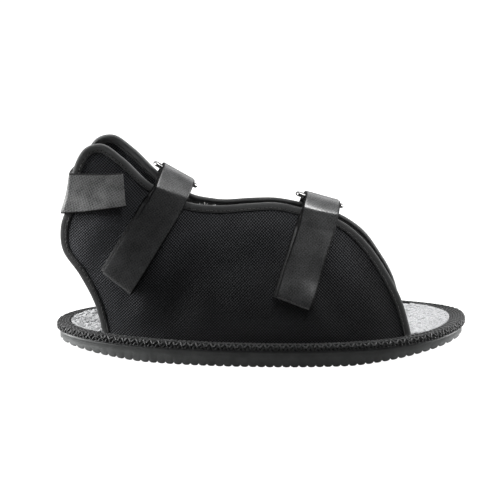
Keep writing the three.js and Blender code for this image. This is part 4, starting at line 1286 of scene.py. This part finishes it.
def ring_form(strap):
    """A rounded rectangle of wire"""
    up, across, origin = strap_frame(strap)
    near, _, way = ring_bars(strap)
    half_long = (STRAP_WIDTH + RING_SPARE + RING_WIRE) / 2 + RING_CLEAR
    path = []
    for n, (k, b) in enumerate(((1, 1), (-1, 1), (-1, 0), (1, 0))):
        centre_k = k * (half_long - RING_CORNER) - RING_SPARE / 2
        centre_b = RING_REACH - RING_CORNER if b else RING_CORNER
        for angle in np.linspace(0, math.pi / 2, 9) + math.pi / 2 * n:
            along = centre_k + RING_CORNER * math.cos(angle)
            path.append((along, centre_b + RING_CORNER * math.sin(angle), angle))
    turns = np.linspace(0, 2 * math.pi, 17)[:-1]
    rings = []
    for k, b, angle in path:
        ring = []
        for turn in turns:
            out, lift = RING_WIRE / 2 * math.cos(turn), RING_WIRE / 2 * math.sin(turn)
            flat = near + way * (b + out * math.sin(angle)) + np.array([-way[1], way[0]]) * lift
            at = origin + up * flat[1] + across * (k + out * math.cos(angle))
            ring.append((at[0], flat[0], at[1]))
        rings.append(ring)
    u, v = np.arange(len(path) + 1), np.arange(len(turns) + 1)
    return one_grid(np.array(rings), u, v, loop_u=True, loop_v=True)


# The heel strap: its width at the sewn patch as a share, how much wider it is further back and
# over what length, how far it is raised, and its free end's curl
PATCH_SPREAD, BACK_SPREAD, SPREAD_RUN, HEEL_STRAP_RAISE = 0.92, 0.2, 40, 0.8
HEEL_TIP_LIFT, HEEL_TIP_RUN = 0.9, 9
ON_WALL_STEPS, BRIDGE_STEPS = 28, 33  # along each wall and between the walls


def heel_strap_stations():
    """The strap from the near wall round the open back to the far wall"""
    lift = EDGE_INSET + STRAP_CLEAR
    t = np.linspace(0, 1, BRIDGE_STEPS)
    tilt = math.tan(math.radians(HEEL_STRAP_TILT))
    columns = []
    for share in ACROSS:
        k = share * STRAP_WIDTH
        front = station(HEEL_STRAP_REACH) - k * tilt

        def height(x):
            spread = PATCH_SPREAD + BACK_SPREAD * ramp(front - x, 0, SPREAD_RUN)
            return HEEL_STRAP_HEIGHT + HEEL_STRAP_RAISE + k * spread + (x - front) * tilt

        def wall_pair(x, side):
            x = np.atleast_1d(x)
            free_end = HEEL_TIP_LIFT * ramp(x, front - HEEL_TIP_RUN, front) * (side == NEAR)
            a = on_wall(x, height(x), side, lift + free_end)
            b = on_wall(x, height(x), side, lift + free_end + HEEL_STRAP_THICKNESS)
            return np.stack([a, b], 1)

        edges = []
        for side in (NEAR, FAR):
            x, z = thread(BACK_SHARES, 1, side)
            u = np.interp(0, z - height(x), BACK_SHARES)
            edges.append(thread(u, 1, side)[0] - lift)
        column = [wall_pair(np.linspace(front, edges[0], ON_WALL_STEPS + 1)[:-1], NEAR)]
        start, end = wall_pair(edges[0], NEAR)[0], wall_pair(edges[1], FAR)[0]
        start_way = normalised(start[0] - wall_pair(edges[0] + 1, NEAR)[0][0])
        end_way = normalised(wall_pair(edges[1] + 1, FAR)[0][0] - end[0])
        reach = HEEL_STRAP_FULLNESS * np.linalg.norm(end[0] - start[0])
        faces = []
        for face in (0, 1):
            pull = reach / max(np.linalg.norm(end[face] - start[face]), 1e-6)
            faces.append(bezier(start[face], start_way, end[face], end_way, (pull, pull), t)[0])
        column.append(np.stack(faces, 1))
        column.append(wall_pair(np.linspace(edges[1], front, ON_WALL_STEPS + 1)[1:], FAR))
        columns.append(np.concatenate(column))
    stations = np.stack(columns, 1)
    # The strap's rearmost line is straight from its lower edge to its upper one
    bridge = stations[ON_WALL_STEPS : ON_WALL_STEPS + len(t), :, :, 0]
    rearmost = bridge[:, :, 1].min(0)
    straight = np.interp(ACROSS, ACROSS[[0, -1]], rearmost[[0, -1]])
    bridge += (np.minimum(straight - rearmost, 0) * np.sin(np.pi * t[:, None]) ** 2)[:, :, None]
    return stations


# Sizes and colours that a user may change

def size_property(name, description, default):
    return bpy.props.FloatProperty(
        name=name, description=description, default=default, min=0.00005, subtype="DISTANCE",
        unit="LENGTH",
    )


def colour_property(name, description, default):
    return bpy.props.FloatVectorProperty(
        name=name, description=description, default=default, size=3, min=0, max=1, subtype="COLOR",
    )


class BootSizes(bpy.types.PropertyGroup):
    """Fine sizes of the boot's cloth, threads and fibres"""

    weave_pitch: size_property("Weave pitch", "Between threads of the wall cloth", 0.0015)
    knit_pitch: size_property("Knit pitch", "Between loops of the straps' knitted face", 0.0016)
    seam_pitch: size_property("Seam pitch", "Between stitches of the bindings", 0.0029)
    seam_thread: size_property("Seam thread", "Thickness of the bindings' thread", 0.0005)
    trim_pitch: size_property("Trim pitch", "Between loops of the trim's knitted face", 0.0024)
    whip_pitch: size_property("Whip pitch", "Between stitches over the sole's trim", 0.0026)
    whip_thread: size_property("Whip thread", "Thickness of the trim's thread", 0.0010)
    fibre_length: size_property("Fibre length", "Length of the felt's loose fibres", 0.0026)


class BootColours(bpy.types.PropertyGroup):
    """Colours of the boot's stuffs"""

    cloth: colour_property("Wall cloth", "Black nylon mesh", (0.0048, 0.0050, 0.0055))
    tape: colour_property("Binding", "Smooth woven tape", (0.024, 0.0246, 0.025))
    webbing: colour_property("Straps", "Brushed black webbing", (0.0115, 0.0118, 0.0122))
    loop: colour_property("Heel strap", "Charcoal loop cloth", (0.078, 0.0787, 0.0787))
    felt: colour_property("Footbed", "Pale grey felt", (0.215, 0.218, 0.223))
    rubber: colour_property("Outsole", "Black rubber", (0.056, 0.0585, 0.058))
    trim: colour_property("Trim", "Black knitted braid", (0.011, 0.0113, 0.0116))
    trim_thread: colour_property("Trim thread", "Over the trim's edge", (0.015, 0.0153, 0.0156))
    seam_thread: colour_property("Seam thread", "Along the bindings", (0.008, 0.008, 0.008))
    lint: colour_property("Lint", "Pale loose fibres at the throat", (0.45, 0.45, 0.44))
    steel: colour_property("Rings", "Nickel-plated wire", (0.2, 0.198, 0.196))


# Camera and studio

CAMERA_DISTANCE = 1.4
CAMERA_TARGET = (-0.0077, 0.0, 0.0677)
CAMERA_ELEVATION = 16.0
CAMERA_LENS = 144.4
STUDIO_LIGHT = 0.02  # of the pale surroundings, which the camera sees at full strength
FLOOR_REACH = 6.0
# Name, place, place that it faces, width, height, watts
LIGHTS = [
    ("softbox_top", (0.2, 0.08, 1.3), (0.05, 0.0, 0.05), 1.7, 0.45, 36.0),
    ("panel_back", (0.0, 1.6, 0.8), (0.0, 0.0, 0.08), 2.4, 1.0, 12.0),
    ("panel_heel", (-1.0, 0.06, 0.36), (-0.1, 0.0, 0.04), 0.45, 0.7, 42.0),
    ("panel_toe", (1.05, 0.28, 0.26), (0.1, 0.0, 0.02), 0.5, 0.7, 38.0),
]


def look_at(thing, target):
    direction = Vector(target) - thing.location
    thing.rotation_euler = direction.to_track_quat("-Z", "Y").to_euler()


class BOOT_OT_stage(bpy.types.Operator):
    """Makes the camera, the lights and the pale floor"""

    bl_idname = "boot.stage"
    bl_label = "Stage"

    def execute(self, context):
        scene = context.scene
        lean = math.radians(CAMERA_ELEVATION)
        x, y, z = CAMERA_TARGET
        camera = bpy.data.objects.new("camera", bpy.data.cameras.new("camera"))
        camera.location = (
            x, y - CAMERA_DISTANCE * math.cos(lean), z + CAMERA_DISTANCE * math.sin(lean)
        )
        camera.data.lens = CAMERA_LENS
        look_at(camera, CAMERA_TARGET)
        scene.collection.objects.link(camera)
        scene.camera = camera
        for name, place, target, width, height, power in LIGHTS:
            data = bpy.data.lights.new(name, "AREA")
            data.shape, data.size, data.size_y, data.energy = "RECTANGLE", width, height, power
            light = bpy.data.objects.new(name, data)
            light.location = place
            look_at(light, target)
            scene.collection.objects.link(light)
        scene.world = world = bpy.data.worlds.new("studio")
        world.use_nodes = True
        world.node_tree.nodes.clear()
        seen = put(world.node_tree, "ShaderNodeLightPath").outputs["Is Camera Ray"]
        strength = math_node(
            world.node_tree, "MULTIPLY_ADD", seen, 1 - STUDIO_LIGHT, STUDIO_LIGHT
        )
        links = {"Color": (1, 1, 1, 1), "Strength": strength}
        sky = put(world.node_tree, "ShaderNodeBackground", links)
        put(world.node_tree, "ShaderNodeOutputWorld", {"Surface": sky.outputs[0]})
        scene.view_settings.view_transform = "Standard"
        self.add_floor(context)
        return {"FINISHED"}

    def add_floor(self, context):
        mesh = bpy.data.meshes.new("floor")
        corners = [
            (FLOOR_REACH * a, FLOOR_REACH * b, 0) for a, b in ((-1, -1), (1, -1), (1, 1), (-1, 1))
        ]
        mesh.from_pydata(corners, [], [(0, 1, 2, 3)])
        material, tree, shader, _, place = start_material("pale_floor")
        mottle = placed_group(tree, "mottle", Vector=place, Size=0.004, Speck=0.5)
        shade(tree, shader, (0.1, 0.1, 0.1), 1.0, 1.1, mottle["Mask"])
        roughen(tree, shader, mottle["Mask"], 0.6, 0.7)
        seen = put(tree, "ShaderNodeLightPath").outputs["Is Camera Ray"]
        tree.links.new(seen, shader.inputs["Emission Strength"])
        fix_inputs(shader, Emission_Color=(1, 1, 1, 1))
        mesh.materials.append(material)
        floor = bpy.data.objects.new("floor", mesh)
        context.scene.collection.objects.link(floor)
        floor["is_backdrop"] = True


class BOOT_OT_outsole(bpy.types.Operator):
    """Makes the rippled rubber outsole"""

    bl_idname = "boot.outsole"
    bl_label = "Outsole"

    def execute(self, context):
        form = outsole_form()
        add_form(context, form, "outsole_rubber", 50, "moulded_rubber", "sole_rubber", "outsole")
        return {"FINISHED"}


class BOOT_OT_trim(bpy.types.Operator):
    """Makes the twill trim round the sole and the threads that whip its edge"""

    bl_idname = "boot.trim"
    bl_label = "Edge trim"

    def execute(self, context):
        sizes = context.scene.boot_sizes
        form = trim_form()
        add_form(context, form, "edge_trim_twill", 60, "twill_trim", "trim_weave", "edge_trim")
        turns = np.linspace(0, 2 * math.pi, 721)
        top = TRIM_BASE + TRIM_HEIGHT
        thread_half = sizes.whip_thread / MM / 2
        for name, up, inset, tip, length, lean, alternate in (
            ("trim_whip_low", 1.6, -0.1, 0.1, 3.0, 56, 1.0),
            ("trim_whip_high", 3.7, 0.15, 0.6, 3.0, -56, 1.0),
            ("trim_bead", 0.35, 0.1, 0.0, 2.3, 4, 0.0),
        ):
            line = trim_line(turns, 0, inset, TRIM_BASE + up)
            facing = trim_line(turns, 0, inset - 1, TRIM_BASE + up) - line
            facing[:, 2] = tip
            add_stitches(
                context, name, [(line, facing)], "trim_thread", "trim_weave",
                pitch=sizes.whip_pitch / MM, length=length, arch=0.25, seed=len(name), lean=lean,
                radius=thread_half * (0.9 if tip else 0.7), alternate=alternate, jitter=0.1,
            )
        inner = trim_line(turns, 1, -1.2, top + 0.12)
        up_way = np.tile((0.0, 0.0, 1.0), (len(inner), 1))
        add_stitches(
            context, "trim_inner_seam", [(inner, up_way)], "trim_thread", "trim_weave",
            pitch=3.0, length=2.2, radius=0.28, arch=0.2, seed=9,
        )
        return {"FINISHED"}


class BOOT_OT_footbed(bpy.types.Operator):
    """Makes the felt footbed and its loose fibres"""

    bl_idname = "boot.footbed"
    bl_label = "Footbed"

    def execute(self, context):
        sizes = context.scene.boot_sizes
        form = footbed_form()
        piece = add_form(context, form, "footbed_felt", 70, "grey_felt", "felt", "footbed")
        ends = {
            "felt_fibres_heel": (lambda x: x < station(0.2) * MM, 42000.0, 1.1, 0.30),
            "felt_fibres_toe": (lambda x: x > station(0.8) * MM, 36000.0, 0.9, 0.22),
        }
        for name, (chosen, density, longer, thick) in ends.items():
            work = bmesh.new()
            work.from_mesh(piece.data)
            other = [
                f for f in work.faces if f.normal.z < 0.3 or not chosen(f.calc_center_median().x)
            ]
            bmesh.ops.delete(work, geom=other, context="FACES")
            top = bpy.data.meshes.new(name)
            work.to_mesh(top)
            work.free()
            add_tufts(
                context, name, top, "grey_felt", "felt", Density=density, Arch=0.5 * MM, Lie=0.35,
                Length=sizes.fibre_length * longer, Radius=thick * MM / 2, Seed=5,
            )
        return {"FINISHED"}


class BOOT_OT_upper(bpy.types.Operator):
    """Makes the two cloth walls on their turned-in margin"""

    bl_idname = "boot.upper"
    bl_label = "Upper"

    def execute(self, context):
        form = upper_form()
        add_form(context, form, "upper_cloth", 60, "black_mesh_cloth", "wall_cloth", "upper")
        return {"FINISHED"}


class BOOT_OT_bindings(bpy.types.Operator):
    """Makes the bindings on the walls' free edges and their seams"""

    bl_idname = "boot.bindings"
    bl_label = "Bindings"

    def execute(self, context):
        sizes = context.scene.boot_sizes
        for side, word in ((NEAR, "near"), (FAR, "far")):
            name = f"binding_{word}"
            form = binding_form(side)
            add_form(context, form, f"{name}_tape", 60, "folded_tape", "binding_tape", name)
            add_stitches(
                context, f"{name}_seam", binding_seams(side), "seam_thread", "binding_tape",
                pitch=sizes.seam_pitch / MM, length=2.1, radius=sizes.seam_thread / MM / 2,
                arch=0.22, seed=3 + side,
            )
        return {"FINISHED"}


class BOOT_OT_lint(bpy.types.Operator):
    """Makes the loose fibres that cling inside the throat by the ankle strap"""

    bl_idname = "boot.lint"
    bl_label = "Lint"

    def execute(self, context):
        shares = np.linspace(0.568, 0.606, 12)
        x, z, inward = binding_frame(NEAR, shares)
        rows = [
            on_wall(*moved_in(x, z, inward, depth), NEAR, -WALL - 0.8) for depth in (-1.9, -0.4)
        ]
        patch = one_grid(np.stack(rows, 1), run_lengths(rows[0]), np.array([0.0, 1.5]))
        add_tufts(
            context, "throat_lint", patch.mesh("lint_patch", 60), "pale_lint", "binding_tape",
            Density=560000.0, Length=4.2 * MM, Radius=0.09 * MM, Arch=1.1 * MM, Lie=0.9, Seed=4,
        )
        return {"FINISHED"}


class BOOT_OT_straps(bpy.types.Operator):
    """Makes the two straps and the tabs that hold their rings"""

    bl_idname = "boot.straps"
    bl_label = "Straps"

    def execute(self, context):
        for word, strap in STRAPS.items():
            for side, form in strap_forms(strap):
                node = f"{'strap' if side == NEAR else 'tab'}_{word}"
                name = f"{node}_webbing"
                add_form(context, form, name, 70, "brushed_webbing", "webbing", node)
        return {"FINISHED"}


class BOOT_OT_rings(bpy.types.Operator):
    """Makes the two wire rings"""

    bl_idname = "boot.rings"
    bl_label = "Rings"

    def execute(self, context):
        for word, strap in STRAPS.items():
            node = f"ring_{word}"
            form = ring_form(strap)
            add_form(context, form, f"{node}_wire", 60, "nickel_wire", "ring_steel", node)
        return {"FINISHED"}


class BOOT_OT_heel_strap(bpy.types.Operator):
    """Makes the strap round the open heel"""

    bl_idname = "boot.heel_strap"
    bl_label = "Heel strap"

    def execute(self, context):
        form = ribbon_form(heel_strap_stations())
        names = "charcoal_loop_cloth", "loop_webbing", "strap_heel"
        add_form(context, form, "strap_heel_loop", 70, *names)
        return {"FINISHED"}


PIECE_OPERATORS = [
    BOOT_OT_outsole, BOOT_OT_trim, BOOT_OT_footbed, BOOT_OT_upper, BOOT_OT_bindings,
    BOOT_OT_lint, BOOT_OT_straps, BOOT_OT_rings, BOOT_OT_heel_strap,
]


class BOOT_PT_pieces(bpy.types.Panel):
    """Lists the boot's sizes, colours and pieces"""

    bl_idname = "BOOT_PT_pieces"
    bl_label = "Cast boot"
    bl_space_type = "VIEW_3D"
    bl_region_type = "UI"
    bl_category = "Cast boot"

    def draw(self, context):
        layout = self.layout
        for group in (context.scene.boot_sizes, context.scene.boot_colours):
            for key in group.__annotations__:
                layout.prop(group, key)
        for operator in [BOOT_OT_stage] + PIECE_OPERATORS:
            layout.operator(operator.bl_idname)


CLASSES = [BootSizes, BootColours, BOOT_OT_stage, *PIECE_OPERATORS, BOOT_PT_pieces]


def register():
    for item in CLASSES:
        bpy.utils.register_class(item)
    bpy.types.Scene.boot_sizes = bpy.props.PointerProperty(type=BootSizes)
    bpy.types.Scene.boot_colours = bpy.props.PointerProperty(type=BootColours)


def unregister():
    del bpy.types.Scene.boot_colours
    del bpy.types.Scene.boot_sizes
    for item in reversed(CLASSES):
        bpy.utils.unregister_class(item)


def main():
    register()
    bpy.ops.boot.stage()
    bpy.ops.boot.outsole()
    bpy.ops.boot.trim()
    bpy.ops.boot.footbed()
    bpy.ops.boot.upper()
    bpy.ops.boot.bindings()
    bpy.ops.boot.lint()
    bpy.ops.boot.straps()
    bpy.ops.boot.rings()
    bpy.ops.boot.heel_strap()
    boxes = {"cad": CAD_BOX, "visual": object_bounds()}
    {key: [list(corner) for corner in box] for key, box in boxes.items()}


if __name__ == "__main__":
    main()
